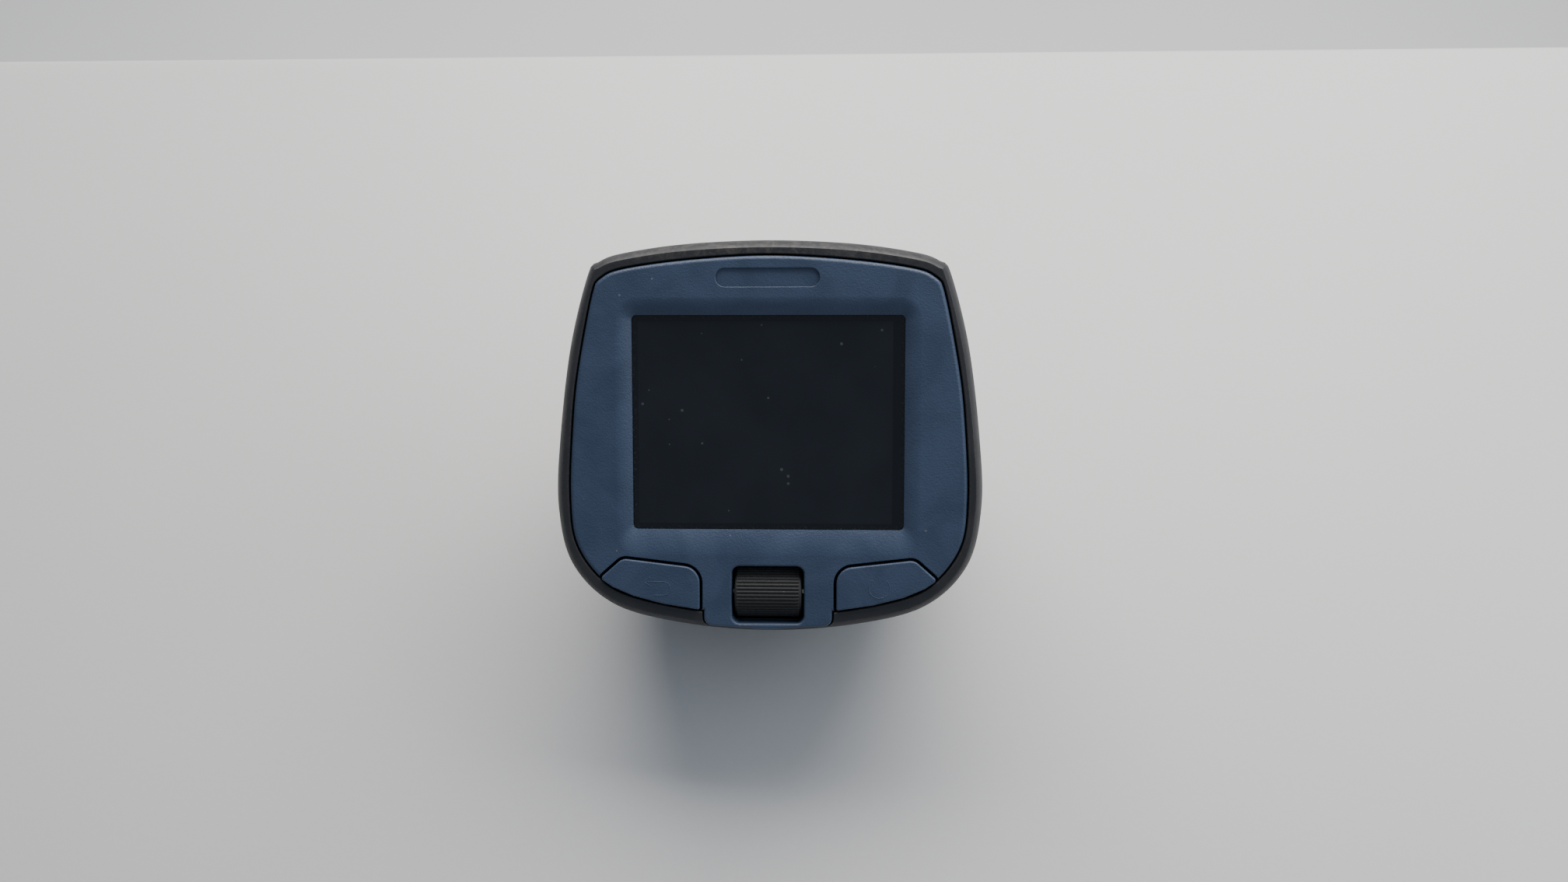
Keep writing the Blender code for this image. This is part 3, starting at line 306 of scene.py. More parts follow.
def mixed(tree, share, first, second):
    """A colour between the first and the second."""
    made = node(tree, "ShaderNodeMix", {"data_type": "RGBA"}, {"Factor": share})
    for index, colour in ((6, first), (7, second)):
        if isinstance(colour, tuple):
            made.inputs[index].default_value = (*colour, 1)
        else:
            tree.links.new(colour, made.inputs[index])
    return made.outputs[2]


def shader_group(name, inputs, outputs):
    """An empty group with named number inputs and outputs, and its two end nodes."""
    tree = bpy.data.node_groups.new(name, "ShaderNodeTree")
    for title, value in inputs.items():
        tree.interface.new_socket(title, in_out="INPUT", socket_type="NodeSocketFloat").default_value = value
    for title, kind in outputs.items():
        tree.interface.new_socket(title, in_out="OUTPUT", socket_type=kind)
    return tree, tree.nodes.new("NodeGroupInput"), tree.nodes.new("NodeGroupOutput")


def device_place_group():
    """The point on the surface in the device's own frame, in millimetres."""
    tree, _, end = shader_group("device_place", {}, {"Place": "NodeSocketVector"})
    where = node(tree, "ShaderNodeTexCoord")
    back = DEVICE.inverted()
    mapping = node(tree, "ShaderNodeMapping", {"vector_type": "POINT"}, {
        "Vector": where.outputs["Object"], "Location": back.translation,
        "Rotation": (-LEAN, 0, 0), "Scale": (1 / MM, 1 / MM, 1 / MM),
    })
    tree.links.new(mapping.outputs[0], end.inputs["Place"])
    return tree


def moulded_grain_group():
    """Spark-eroded grain of a mould: its height, and the soft patches that handling leaves."""
    tree, start, end = shader_group(
        "moulded_grain", {"Grain Size": 0.2, "Patch Size": 9.0},
        {"Height": "NodeSocketFloat", "Patch": "NodeSocketFloat"},
    )
    place = node(tree, "ShaderNodeGroup", {"node_tree": DEVICE_PLACE})
    fine = node(tree, "ShaderNodeTexNoise", None, {
        "Vector": place, "Scale": math_node(tree, "DIVIDE", 1.0, start.outputs["Grain Size"]),
        "Detail": 3.0, "Roughness": 0.6,
    })
    cells = node(tree, "ShaderNodeTexVoronoi", {"feature": "SMOOTH_F1"}, {
        "Vector": place, "Scale": math_node(tree, "DIVIDE", 0.8, start.outputs["Grain Size"]),
    })
    height = math_node(tree, "ADD", fine, math_node(tree, "MULTIPLY", cells, 0.6))
    patch = node(tree, "ShaderNodeTexNoise", None, {
        "Vector": place, "Scale": math_node(tree, "DIVIDE", 1.0, start.outputs["Patch Size"]),
        "Detail": 4.0, "Roughness": 0.55, "Distortion": 0.6,
    })
    tree.links.new(height.outputs[0], end.inputs["Height"])
    tree.links.new(ramp(tree, patch, 0.3, 0.7).outputs[0], end.inputs["Patch"])
    return tree


def edge_wear_group():
    """Where an edge is rubbed: the surface's turn within a radius, broken up by fine noise."""
    tree, start, end = shader_group(
        "edge_wear", {"Radius": 0.0003, "Onset": 0.03, "Break-up": 0.5}, {"Wear": "NodeSocketFloat"},
    )
    soft = node(tree, "ShaderNodeBevel", {"samples": 4}, {"Radius": start.outputs["Radius"]})
    true = node(tree, "ShaderNodeNewGeometry")
    dot = node(tree, "ShaderNodeVectorMath", {"operation": "DOT_PRODUCT"}, {
        0: soft.outputs[0], 1: true.outputs["Normal"],
    })
    turn = math_node(tree, "SUBTRACT", 1.0, dot.outputs["Value"])
    edge = node(tree, "ShaderNodeMapRange", {"interpolation_type": "SMOOTHSTEP"}, {
        "Value": turn, "From Min": 0.004, "From Max": start.outputs["Onset"],
    })
    place = node(tree, "ShaderNodeGroup", {"node_tree": DEVICE_PLACE})
    noise = node(tree, "ShaderNodeTexNoise", None, {"Vector": place, "Scale": 2.2, "Detail": 5.0})
    broken = ramp(tree, noise, 0.36, 0.66)
    keep = node(tree, "ShaderNodeMix", {"data_type": "FLOAT"}, {
        0: start.outputs["Break-up"], 2: 1.0, 3: broken.outputs[0],
    })
    tree.links.new(math_node(tree, "MULTIPLY", edge, keep.outputs[0]).outputs[0], end.inputs["Wear"])
    return tree


def dust_group():
    """Small pale specks, thinly and unevenly spread."""
    tree, start, end = shader_group(
        "dust", {"Speck Size": 0.5, "Amount": 0.2}, {"Specks": "NodeSocketFloat"},
    )
    place = node(tree, "ShaderNodeGroup", {"node_tree": DEVICE_PLACE})
    cells = node(tree, "ShaderNodeTexVoronoi", None, {
        "Vector": place, "Scale": math_node(tree, "DIVIDE", 1.0, start.outputs["Speck Size"]),
    })
    odds = node(tree, "ShaderNodeSeparateColor", None, {0: cells.outputs["Color"]})
    size = math_node(tree, "MULTIPLY", odds.outputs[1], 0.24)
    dot = math_node(tree, "LESS_THAN", cells.outputs["Distance"], size)
    chosen = math_node(tree, "LESS_THAN", odds.outputs[0], start.outputs["Amount"])
    tree.links.new(math_node(tree, "MULTIPLY", dot, chosen).outputs[0], end.inputs["Specks"])
    return tree


DEVICE_PLACE = device_place_group()
MOULDED_GRAIN = moulded_grain_group()
EDGE_WEAR = edge_wear_group()
DUST = dust_group()


def group(tree, made, **inputs):
    """The group placed in a material, with its values."""
    return node(tree, "ShaderNodeGroup", {"node_tree": made}, {
        key.replace("_", " ").replace("Break up", "Break-up"): value for key, value in inputs.items()
    })


def new_finish(name):
    material = bpy.data.materials.new(name)
    material.use_nodes = True
    return material, material.node_tree, material.node_tree.nodes["Principled BSDF"]


def moulded(name, dark, light, worn, grain, depth, rough, wear=(0.0003, 0.05, 0.5), wear_share=0.6):
    """Moulded plastic or rubber: grain, patches of handling, rubbed edges and a little dust."""
    material, tree, shader = new_finish(name)
    skin = group(tree, MOULDED_GRAIN, Grain_Size=grain, Patch_Size=9.0)
    tone = math_node(tree, "ADD", math_node(tree, "MULTIPLY", skin.outputs["Patch"], 0.7),
                     math_node(tree, "MULTIPLY", skin.outputs["Height"], 0.3))
    colour = mixed(tree, tone.outputs[0], dark, light)
    rubbed = group(tree, EDGE_WEAR, Radius=wear[0], Onset=wear[1], Break_up=wear[2])
    share = math_node(tree, "MULTIPLY", rubbed, wear_share)
    colour = mixed(tree, share.outputs[0], colour, worn)
    specks = group(tree, DUST, Speck_Size=0.9, Amount=0.02)
    faint = math_node(tree, "MULTIPLY", specks, 0.35)
    colour = mixed(tree, faint.outputs[0], colour, (0.32, 0.31, 0.29))
    gloss = node(tree, "ShaderNodeMapRange", None, {
        "Value": skin.outputs["Patch"], "To Min": rough[0], "To Max": rough[1],
    })
    bump = node(tree, "ShaderNodeBump", None, {
        "Strength": 1.0, "Distance": depth * MM, "Height": skin.outputs["Height"],
    })
    tree.links.new(colour, shader.inputs["Base Color"])
    tree.links.new(gloss.outputs[0], shader.inputs["Roughness"])
    tree.links.new(bump.outputs[0], shader.inputs["Normal"])
    return material, tree, shader


BLUE_SATIN, _, blue_shader = moulded(
    "blue_satin_plastic", (0.032, 0.050, 0.090), (0.048, 0.071, 0.124), (0.12, 0.15, 0.20),
    grain=0.26, depth=0.046, rough=(0.42, 0.52), wear=(0.00025, 0.12, 0.8), wear_share=0.12,
)
blue_shader.inputs["Specular IOR Level"].default_value = 0.55

bezel_outline = closed_spline(mirrored(BEZEL_HALF), 300)
key_outline = rounded(KEY_CORNERS)
key_hole = grown(key_outline, KEY_GAP)
tongue_outline = rounded([
    (TONGUE_WIDTH / 2, WHEEL_CENTRE.y + WHEEL_WINDOW[1] / 2, 0),
    (TONGUE_WIDTH / 2, TONGUE_BOTTOM + 0.7, 1.4),
    (0, TONGUE_BOTTOM, 0),
    (-TONGUE_WIDTH / 2, TONGUE_BOTTOM + 0.7, 1.4),
    (-TONGUE_WIDTH / 2, WHEEL_CENTRE.y + WHEEL_WINDOW[1] / 2, 0),
])


def window_frame(share, z):
    """The frame round the window at a share of its slope: 0 on the window and 1 on the face."""
    side, top, bottom = (slope * share for slope in WINDOW_SLOPES)
    return level(rounded_box(
        -WINDOW_WIDTH / 2 - side, WINDOW_WIDTH / 2 + side, WINDOW_Y - WINDOW_HEIGHT / 2 - bottom,
        WINDOW_Y + WINDOW_HEIGHT / 2 + top, 0.8 + 2.2 * share,
    ), z)


bezel = plate("bezel", bezel_outline, -BEZEL_THICKNESS, 0, BEZEL_ROLL)
cut(bezel, opening("right_hole", key_hole, -5, 0, 0.18))
cut(bezel, opening("left_hole", key_hole * (-1, 1), -5, 0, 0.18))
join(bezel, plate("tongue", tongue_outline, -BEZEL_THICKNESS, 0, 0.45))
wheel_hole = rounded_box(
    -WHEEL_WINDOW[0] / 2, WHEEL_WINDOW[0] / 2, WHEEL_CENTRE.y - WHEEL_WINDOW[1] / 2,
    WHEEL_CENTRE.y + WHEEL_WINDOW[1] / 2, 1.3,
)
cut(bezel, opening("wheel_hole", wheel_hole, -5, 0, 0.4))
slope_steps = [window_frame(0, -5), window_frame(0, -WINDOW_SINK)]
for step in range(1, 17):
    share = step / 16
    height = -WINDOW_SINK * (1 - share) ** 1.8
    slope_steps.append(window_frame(1.35 * share, height))
slope_steps.append(window_frame(1.8, 0.5))
cut(bezel, lofted("window", slope_steps))
lens_pocket = rounded_box(
    -WINDOW_WIDTH / 2 - 1.2, WINDOW_WIDTH / 2 + 1.2, WINDOW_Y - WINDOW_HEIGHT / 2 - 1.2,
    WINDOW_Y + WINDOW_HEIGHT / 2 + 1.2, 1.2,
)
cut(bezel, lofted("pocket", [level(lens_pocket, -5), level(lens_pocket, -1.5)]))
badge = rounded_box(-8.5, 8.5, 24.6, 27.6, 1.45)
cut(bezel, opening("badge_room", badge, -0.35, 0, 0.15))
seated(bezel, "bezel_moulding", "housing", BLUE_SATIN, ["front_bezel"])


# ---------------------------------------------------------------- display window and the panel behind it
# A dark tinted window of hard-coated plastic, glued behind the bezel on a foam ring. The colour panel and
# its white light guide lie behind it, so the picture area is a slightly paler field in a black border.

LENS_FRONT = -1.62
lens = plate("lens", rounded_box(
    -WINDOW_WIDTH / 2 - 0.85, WINDOW_WIDTH / 2 + 0.85, WINDOW_Y - WINDOW_HEIGHT / 2 - 0.85,
    WINDOW_Y + WINDOW_HEIGHT / 2 + 0.85, 1.0,
), -BEZEL_THICKNESS, LENS_FRONT, 0.12)


def inside_box(tree, place, left, right, low, high, soft):
    """1 inside the box on the face and 0 outside it, with a soft border."""
    parts = node(tree, "ShaderNodeSeparateXYZ", None, {0: place})
    share = None
    for axis, near, far in ((0, left, right), (1, low, high)):
        rise = ramp(tree, parts.outputs[axis], near - soft, near + soft)
        fall = ramp(tree, parts.outputs[axis], far - soft, far + soft, 1.0, 0.0)
        both = math_node(tree, "MULTIPLY", rise, fall)
        share = both if share is None else math_node(tree, "MULTIPLY", share, both)
    return share


TINTED_WINDOW, tree, shader = new_finish("tinted_window")
place = group(tree, DEVICE_PLACE)
picture = inside_box(tree, place.outputs[0], -21.6, 20.6, -14.6, 19.0, 0.12)
cloud = node(tree, "ShaderNodeTexNoise", None, {"Vector": place, "Scale": 0.09, "Detail": 2.0})
field = mixed(tree, ramp(tree, cloud, 0.3, 0.7).outputs[0], (0.0075, 0.0095, 0.013), (0.0105, 0.0130, 0.0165))
colour = mixed(tree, picture.outputs[0], (0.0042, 0.0048, 0.0062), field)
edge = inside_box(tree, place.outputs[0], -22.0, 22.2, -15.2, 19.7, 0.7)
crumbs = node(tree, "ShaderNodeTexNoise", None, {
    "Vector": place, "Scale": 2.6, "Detail": 6.0, "Roughness": 0.7,
})
grime = math_node(tree, "MULTIPLY", ramp(tree, crumbs, 0.5, 0.68), math_node(tree, "SUBTRACT", 1.0, edge))
colour = mixed(tree, math_node(tree, "MULTIPLY", grime, 0.55).outputs[0], colour, (0.075, 0.072, 0.064))
specks = group(tree, DUST, Speck_Size=1.1, Amount=0.05)
colour = mixed(tree, math_node(tree, "MULTIPLY", specks, 0.35).outputs[0], colour, (0.16, 0.16, 0.155))
smears = node(tree, "ShaderNodeTexNoise", None, {
    "Vector": node(tree, "ShaderNodeMapping", None, {
        "Vector": place.outputs[0], "Rotation": (0, 0, 0.6), "Scale": (0.10, 0.32, 0.1),
    }), "Scale": 1.0, "Detail": 5.0, "Roughness": 0.55, "Distortion": 1.4,
})
matt = math_node(tree, "ADD", ramp(tree, smears, 0.42, 0.7, 0.10, 0.20),
                 math_node(tree, "MULTIPLY", grime, 0.3))
ripple = node(tree, "ShaderNodeTexNoise", None, {"Vector": place, "Scale": 0.55, "Detail": 2.0})
bump = node(tree, "ShaderNodeBump", None, {"Strength": 0.35, "Distance": 0.00001, "Height": ripple})
tree.links.new(colour, shader.inputs["Base Color"])
tree.links.new(matt.outputs[0], shader.inputs["Roughness"])
tree.links.new(bump.outputs[0], shader.inputs["Normal"])
shader.inputs["IOR"].default_value = 1.49
seated(lens, "window_lens", "housing", TINTED_WINDOW, ["display_lens"])

MATT_RUBBER, _, _ = moulded(
    "matt_black_rubber", (0.011, 0.011, 0.012), (0.019, 0.018, 0.018), (0.055, 0.052, 0.048),
    grain=0.22, depth=0.016, rough=(0.62, 0.78),
)


def dressed(material, *nodes):
    """Gives CAD nodes that keep their own shape a finish."""
    for name in nodes:
        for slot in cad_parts[name].material_slots:
            slot.material = material


MILK_PLASTIC, _, _ = moulded(
    "milk_white_plastic", (0.55, 0.55, 0.53), (0.66, 0.66, 0.63), (0.74, 0.73, 0.70),
    grain=0.3, depth=0.006, rough=(0.38, 0.5),
)
dressed(MATT_RUBBER, "lens_gasket")
dressed(TINTED_WINDOW, "lcd_panel")
dressed(MILK_PLASTIC, "lcd_backlight")


# ---------------------------------------------------------------- keys
# Two hard caps moulded in the same blue plastic, each with a faint raised sign: an arrow that turns back on
# the left and a power sign on the right. Each cap stands a hair proud and its stem presses a dome switch.

KEY_PROUD = 0.2
KEY_ROLL = 0.3
SIGN_RADIUS = 0.10


def tube(name, points, radius, sides=8):
    """A round bead with closed ends along points on the face."""
    path = np.array(points, float)
    ahead = np.gradient(path, axis=0)
    ahead /= np.linalg.norm(ahead, axis=1)[:, None]
    across = np.cross(ahead, (0, 0, 1))
    across /= np.linalg.norm(across, axis=1)[:, None]
    angles = np.arange(sides) * math.tau / sides
    sections = []
    swell = np.ones(len(path))
    swell[[0, -1]] = 0.35
    for point, side, size in zip(path, across, swell):
        ring = point + radius * size * (
            np.cos(angles)[:, None] * side + np.sin(angles)[:, None] * np.array((0, 0, 1.0)))
        sections.append(ring)
    return lofted(name, sections)


def arc(centre, radius, first, last, steps=18):
    """Points of an arc on the face, from one angle in degrees to another."""
    angles = np.radians(np.linspace(first, last, steps))
    height = KEY_PROUD - 0.055
    return [(centre[0] + radius * math.cos(a), centre[1] + radius * math.sin(a), height) for a in angles]


def straight(start, end, steps=5):
    height = KEY_PROUD - 0.055
    return [
        (start[0] + (end[0] - start[0]) * share, start[1] + (end[1] - start[1]) * share, height)
        for share in np.linspace(0, 1, steps)
    ]


def gathered(piece, others):
    """Puts the beads into the piece's mesh as closed shells of their own."""
    shape = bmesh.new()
    for source in [piece, *others]:
        shape.from_mesh(source.data)
    shape.to_mesh(piece.data)
    shape.free()
    for other in others:
        bpy.data.objects.remove(other, do_unlink=True)
    return piece


BACK_SIGN = (
    straight((-20.6, -24.2), (-17.4, -24.2)) + arc((-17.4, -25.35), 1.15, 80, -90, 12)
    + straight((-17.6, -26.5), (-19.2, -26.5)),
    straight((-19.4, -23.3), (-20.7, -24.2)),
    straight((-20.7, -24.2), (-19.4, -25.1)),
)
POWER_SIGN = (
    arc((18.5, -25.0), 1.75, 128, 412, 34),
    straight((18.5, -22.9), (18.5, -24.7)),
)
for name, node_name, side, sign in (
    ("back_key", "back_button", -1, BACK_SIGN), ("power_key", "power_button", 1, POWER_SIGN),
):
    key = plate(name, key_outline * (side, 1), -2.6, KEY_PROUD, KEY_ROLL)
    stem = rounded_box(*sorted((side * 15.2, side * 18.8)), -25.2, -23.2, 0.3)
    join(key, lofted("stem", [level(stem, -5.0), level(stem, -2.0)]))
    gathered(key, [tube("bead", points, SIGN_RADIUS) for points in sign])
    seated(key, name, node_name, BLUE_SATIN, [node_name])

STAMPED_STEEL, tree, shader = new_finish("stamped_steel")
skin = group(tree, MOULDED_GRAIN, Grain_Size=0.35, Patch_Size=3.0)
lines = node(tree, "ShaderNodeTexNoise", None, {
    "Vector": node(tree, "ShaderNodeMapping", None, {
        "Vector": group(tree, DEVICE_PLACE), "Scale": (0.4, 9.0, 9.0),
    }), "Scale": 1.0, "Detail": 3.0,
})
colour = mixed(tree, skin.outputs["Patch"], (0.50, 0.50, 0.49), (0.66, 0.65, 0.63))
rubbed = group(tree, EDGE_WEAR, Radius=0.00015, Onset=0.08, Break_up=0.4)
colour = mixed(tree, math_node(tree, "MULTIPLY", rubbed, 0.5).outputs[0], colour, (0.80, 0.80, 0.79))
bump = node(tree, "ShaderNodeBump", None, {"Strength": 0.6, "Distance": 0.000006, "Height": lines})
tree.links.new(colour, shader.inputs["Base Color"])
tree.links.new(ramp(tree, lines, 0.3, 0.7, 0.24, 0.42).outputs[0], shader.inputs["Roughness"])
tree.links.new(bump.outputs[0], shader.inputs["Normal"])
shader.inputs["Metallic"].default_value = 1.0
dressed(MATT_RUBBER, "keypad_membrane")
dressed(STAMPED_STEEL, "switch_left", "switch_right")


# ---------------------------------------------------------------- thumb wheel
# A ribbed roller of hard black rubber, 11 mm wide, moulded on a sleeve that turns on a steel axle. The axle
# lies in a sliding cradle, so the roller can also be pressed in to click a switch on its own small board.

WHEEL_RADIUS = 4.4
WHEEL_WIDTH = 11.2
WHEEL_RIBS = 46
RIB_RADIUS = 0.2


def ribbed_roller():
    """Geometry nodes: a rounded sleeve with round bars set evenly round it."""
    tree = bpy.data.node_groups.new("ribbed_roller", "GeometryNodeTree")
    for title, value in (
        ("Radius", WHEEL_RADIUS), ("Bore", 0.9), ("Width", WHEEL_WIDTH), ("Rib Radius", RIB_RADIUS),
    ):
        tree.interface.new_socket(title, in_out="INPUT", socket_type="NodeSocketFloat").default_value = value
    tree.interface.new_socket("Ribs", in_out="INPUT", socket_type="NodeSocketInt").default_value = WHEEL_RIBS
    tree.interface.new_socket("Finish", in_out="INPUT", socket_type="NodeSocketMaterial")
    tree.interface.new_socket("Geometry", in_out="OUTPUT", socket_type="NodeSocketGeometry")
    start = tree.nodes.new("NodeGroupInput")
    end = tree.nodes.new("NodeGroupOutput")
    pitch = math_node(tree, "SUBTRACT", start.outputs["Radius"], start.outputs["Rib Radius"])
    wall = math_node(tree, "SUBTRACT", pitch, start.outputs["Bore"])
    middle = math_node(tree, "ADD", start.outputs["Bore"], math_node(tree, "MULTIPLY", wall, 0.5))
    path = node(tree, "GeometryNodeCurvePrimitiveCircle", None, {"Resolution": 96, "Radius": middle})
    section = node(tree, "GeometryNodeCurvePrimitiveQuadrilateral", None, {
        "Width": wall, "Height": start.outputs["Width"],
    })
    soft = node(tree, "GeometryNodeFilletCurve", {"mode": "POLY"}, {
        "Curve": section, "Count": 5, "Radius": 0.45,
    })
    sleeve = node(tree, "GeometryNodeCurveToMesh", None, {"Curve": path, "Profile Curve": soft})
    ring = node(tree, "GeometryNodeMeshCircle", None, {"Vertices": start.outputs["Ribs"], "Radius": pitch})
    length = math_node(tree, "SUBTRACT", start.outputs["Width"], 0.9)
    half = math_node(tree, "MULTIPLY", length, 0.5)
    low = node(tree, "ShaderNodeCombineXYZ", None, {"Z": math_node(tree, "MULTIPLY", half, -1.0)})
    high = node(tree, "ShaderNodeCombineXYZ", None, {"Z": half})
    line = node(tree, "GeometryNodeCurvePrimitiveLine", None, {"Start": low, "End": high})
    steps = node(tree, "GeometryNodeResampleCurve", None, {"Curve": line, "Count": 5})
    bead = node(tree, "GeometryNodeCurvePrimitiveCircle", None, {
        "Resolution": 10, "Radius": start.outputs["Rib Radius"],
    })
    bar = node(tree, "GeometryNodeCurveToMesh", None, {"Curve": steps, "Profile Curve": bead})
    bar.inputs["Fill Caps"].default_value = True
    ribs = node(tree, "GeometryNodeInstanceOnPoints", None, {"Points": ring, "Instance": bar})
    both = tree.nodes.new("GeometryNodeJoinGeometry")
    tree.links.new(sleeve.outputs[0], both.inputs[0])
    tree.links.new(ribs.outputs[0], both.inputs[0])
    real = node(tree, "GeometryNodeRealizeInstances", None, {"Geometry": both})
    done = node(tree, "GeometryNodeSetMaterial", None, {
        "Geometry": real, "Material": start.outputs["Finish"],
    })
    tree.links.new(done.outputs[0], end.inputs["Geometry"])
    return tree


def grown_by(tree, name, values):
    """The plain mesh that a geometry-nodes tree makes with the values."""
    made = bpy.data.objects.new(name, bpy.data.meshes.new(name))
    bpy.context.scene.collection.objects.link(made)
    modifier = made.modifiers.new(name, "NODES")
    modifier.node_group = tree
    named = {item.name: item.identifier for item in tree.interface.items_tree if item.in_out == "INPUT"}
    for title, value in values.items():
        modifier[named[title]] = value
    bpy.context.view_layer.update()
    return baked(made)


def faces_out(piece):
    """Merges the piece's doubles and turns its faces outwards."""
    shape = bmesh.new()
    shape.from_mesh(piece.data)
    bmesh.ops.remove_doubles(shape, verts=shape.verts, dist=0.0005)
    bmesh.ops.recalc_face_normals(shape, faces=shape.faces)
    shape.to_mesh(piece.data)
    shape.free()
    return piece


roller = grown_by(ribbed_roller(), "roller", {
    "Radius": WHEEL_RADIUS, "Bore": 0.9, "Width": WHEEL_WIDTH, "Ribs": WHEEL_RIBS,
    "Rib Radius": RIB_RADIUS, "Finish": MATT_RUBBER,
})
faces_out(roller)
roller.data.transform(Matrix.Translation(WHEEL_CENTRE) @ Matrix.Rotation(math.pi / 2, 4, "Y"))
seated(roller, "ribbed_roller", "thumb_wheel", MATT_RUBBER, ["thumb_wheel"])

BLACK_PLASTIC, _, _ = moulded(
    "black_moulded_plastic", (0.013, 0.014, 0.016), (0.021, 0.022, 0.025), (0.085, 0.088, 0.095),
    grain=0.26, depth=0.020, rough=(0.46, 0.60),
)
CIRCUIT_BOARD, tree, shader = new_finish("green_circuit_board")
place = group(tree, DEVICE_PLACE)
tracks = node(tree, "ShaderNodeTexBrick", {"offset": 0.37}, {
    "Vector": place, "Scale": 1.0, "Mortar Size": 0.09, "Brick Width": 2.3, "Row Height": 0.55,
    "Color1": (0.006, 0.060, 0.026, 1), "Color2": (0.010, 0.085, 0.036, 1), "Mortar": (0.022, 0.130, 0.060, 1),
})
skin = group(tree, MOULDED_GRAIN, Grain_Size=0.4, Patch_Size=5.0)
colour = mixed(tree, skin.outputs["Patch"], tracks.outputs["Color"], (0.012, 0.075, 0.034))
bump = node(tree, "ShaderNodeBump", None, {
    "Strength": 0.5, "Distance": 0.00002, "Height": tracks.outputs["Fac"],
})
tree.links.new(colour, shader.inputs["Base Color"])
tree.links.new(ramp(tree, skin.outputs["Patch"], 0.0, 1.0, 0.3, 0.5).outputs[0], shader.inputs["Roughness"])
tree.links.new(bump.outputs[0], shader.inputs["Normal"])
dressed(BLACK_PLASTIC, "wheel_carrier", "wheel_encoder")
dressed(STAMPED_STEEL, "wheel_axle", "wheel_switch")
dressed(CIRCUIT_BOARD, "wheel_board")


# ---------------------------------------------------------------- rubber surround
# A soft black frame moulded over a hard ring. Its lip rolls round from the face to the sides and holds the
# bezel in a seat; lugs inside take the board's screws and pillars take the two case screws.

LIP_DEPTH = 5.0
LIP_ROLL = 2.3
LIP_FRONT = 0.32
SEAM_DEPTH = 9.0
WALL = 2.4
GAP = 0.3
SURROUND_HALF = (
    (0, 32.5), (14, 31.9), (24.5, 30.4), (28.4, 29), (30.2, 27), (33.3, 15), (35.25, 0),
    (35.75, -12), (33.4, -22), (26.15, -29), (14, -32.15), (0, -33.2),
)
surround_outline = closed_spline(mirrored(SURROUND_HALF), 288) * 0.9993


def lip_roll(depth):
    """How far the rolled front edge stands inside the skin at a depth."""
    share = max(0.0, LIP_DEPTH - depth) / LIP_DEPTH
    return LIP_ROLL * (1 - math.sqrt(max(0.0, 1 - share**2)))


def rod(name, radius, start, end, sides=40):
    """A round bar from one point to another."""
    along = Vector(end) - Vector(start)
    shape = bmesh.new()
    bmesh.ops.create_cone(
        shape, cap_ends=True, segments=sides, radius1=radius, radius2=radius, depth=along.length,
    )
    turn = along.to_track_quat("Z", "X").to_matrix().to_4x4()
    place = Matrix.Translation((Vector(start) + Vector(end)) / 2) @ turn
    bmesh.ops.transform(shape, matrix=place, verts=shape.verts)
    mesh = bpy.data.meshes.new(name)
    shape.to_mesh(mesh)
    shape.free()
    made = bpy.data.objects.new(name, mesh)
    bpy.context.scene.collection.objects.link(made)
    return made


def block(name, x, y, z, standing_up=False):
    """A box between two values on each axis: x, y, z, or x, v, u of the standing device."""
    corners = [level(np.array([(x[0], y[0]), (x[1], y[0]), (x[1], y[1]), (x[0], y[1])]), end) for end in z]
    made = lofted(name, corners)
    if standing_up:
        made.data.transform(Matrix.Rotation(-LEAN, 4, "X"))
    return made


SOFT_BLACK, tree, shader = moulded(
    "soft_black_rubber", (0.016, 0.016, 0.018), (0.025, 0.024, 0.026), (0.075, 0.070, 0.066),
    grain=0.24, depth=0.018, rough=(0.50, 0.62), wear=(0.0006, 0.10, 0.75), wear_share=0.5,
)
place = group(tree, DEVICE_PLACE)
parts = node(tree, "ShaderNodeSeparateXYZ", None, {0: place})
# The top front of the lip is painted lighter and browner, in broken patches. This is partly scuffs and partly a
# painted highlight where the light falls on the top of the lip.
brow = math_node(tree, "MULTIPLY", ramp(tree, parts.outputs[1], 27.5, 31.0),
                 ramp(tree, parts.outputs[2], -4.5, -1.0))
scuff_and_highlight_noise = node(tree, "ShaderNodeTexNoise", None, {
    "Vector": place, "Scale": 0.8, "Detail": 8.0, "Roughness": 0.68, "Distortion": 0.8,
})
scuff_and_painted_highlight = math_node(tree, "MULTIPLY", math_node(tree, "MULTIPLY", brow, ramp(tree, scuff_and_highlight_noise, 0.42, 0.66)), 0.55)
clean = shader.inputs["Base Color"].links[0].from_socket
tree.links.new(mixed(tree, scuff_and_painted_highlight.outputs[0], clean, (0.105, 0.088, 0.075)), shader.inputs["Base Color"])

sections = []
for depth in (LIP_FRONT, 0.42, 0.55, 0.75, 1.0, 1.35, 1.8, 2.4, 3.1, 4.0, LIP_DEPTH, 6.8, SEAM_DEPTH - GAP):
    sections.append(level(grown(surround_outline, -lip_roll(depth)), -depth))
surround = lofted("surround", sections)
seat = -BEZEL_THICKNESS - GAP
cut(
    surround,
    lofted("hollow", [level(evened(grown(surround_outline, -WALL + 0.2), 260), z) for z in (-40, seat - 1.5)]),
    opening("seat", grown(bezel_outline, 0.24), seat, -LIP_FRONT, 0.22),
    opening("tongue_seat", grown(tongue_outline, 0.24), seat, -LIP_FRONT, 0.2),
    lofted("through", [level(grown(bezel_outline, -1.6), z) for z in (-40, 5)]),
    block("wheel_room", (-8.5, 8.5), (WHEEL_CENTRE.y - WHEEL_RADIUS - GAP, -19), (-40, 1)),
)
seated(surround, "surround_moulding", "housing", SOFT_BLACK, ["rubber_surround"])


# ---------------------------------------------------------------- rear shell
# An egg-shaped back moulded in one piece of hard black plastic, cut flat at the foot. Two long screws in deep
# wells draw it up to the surround; slots let the speaker out below and a recess on the right holds the ports.

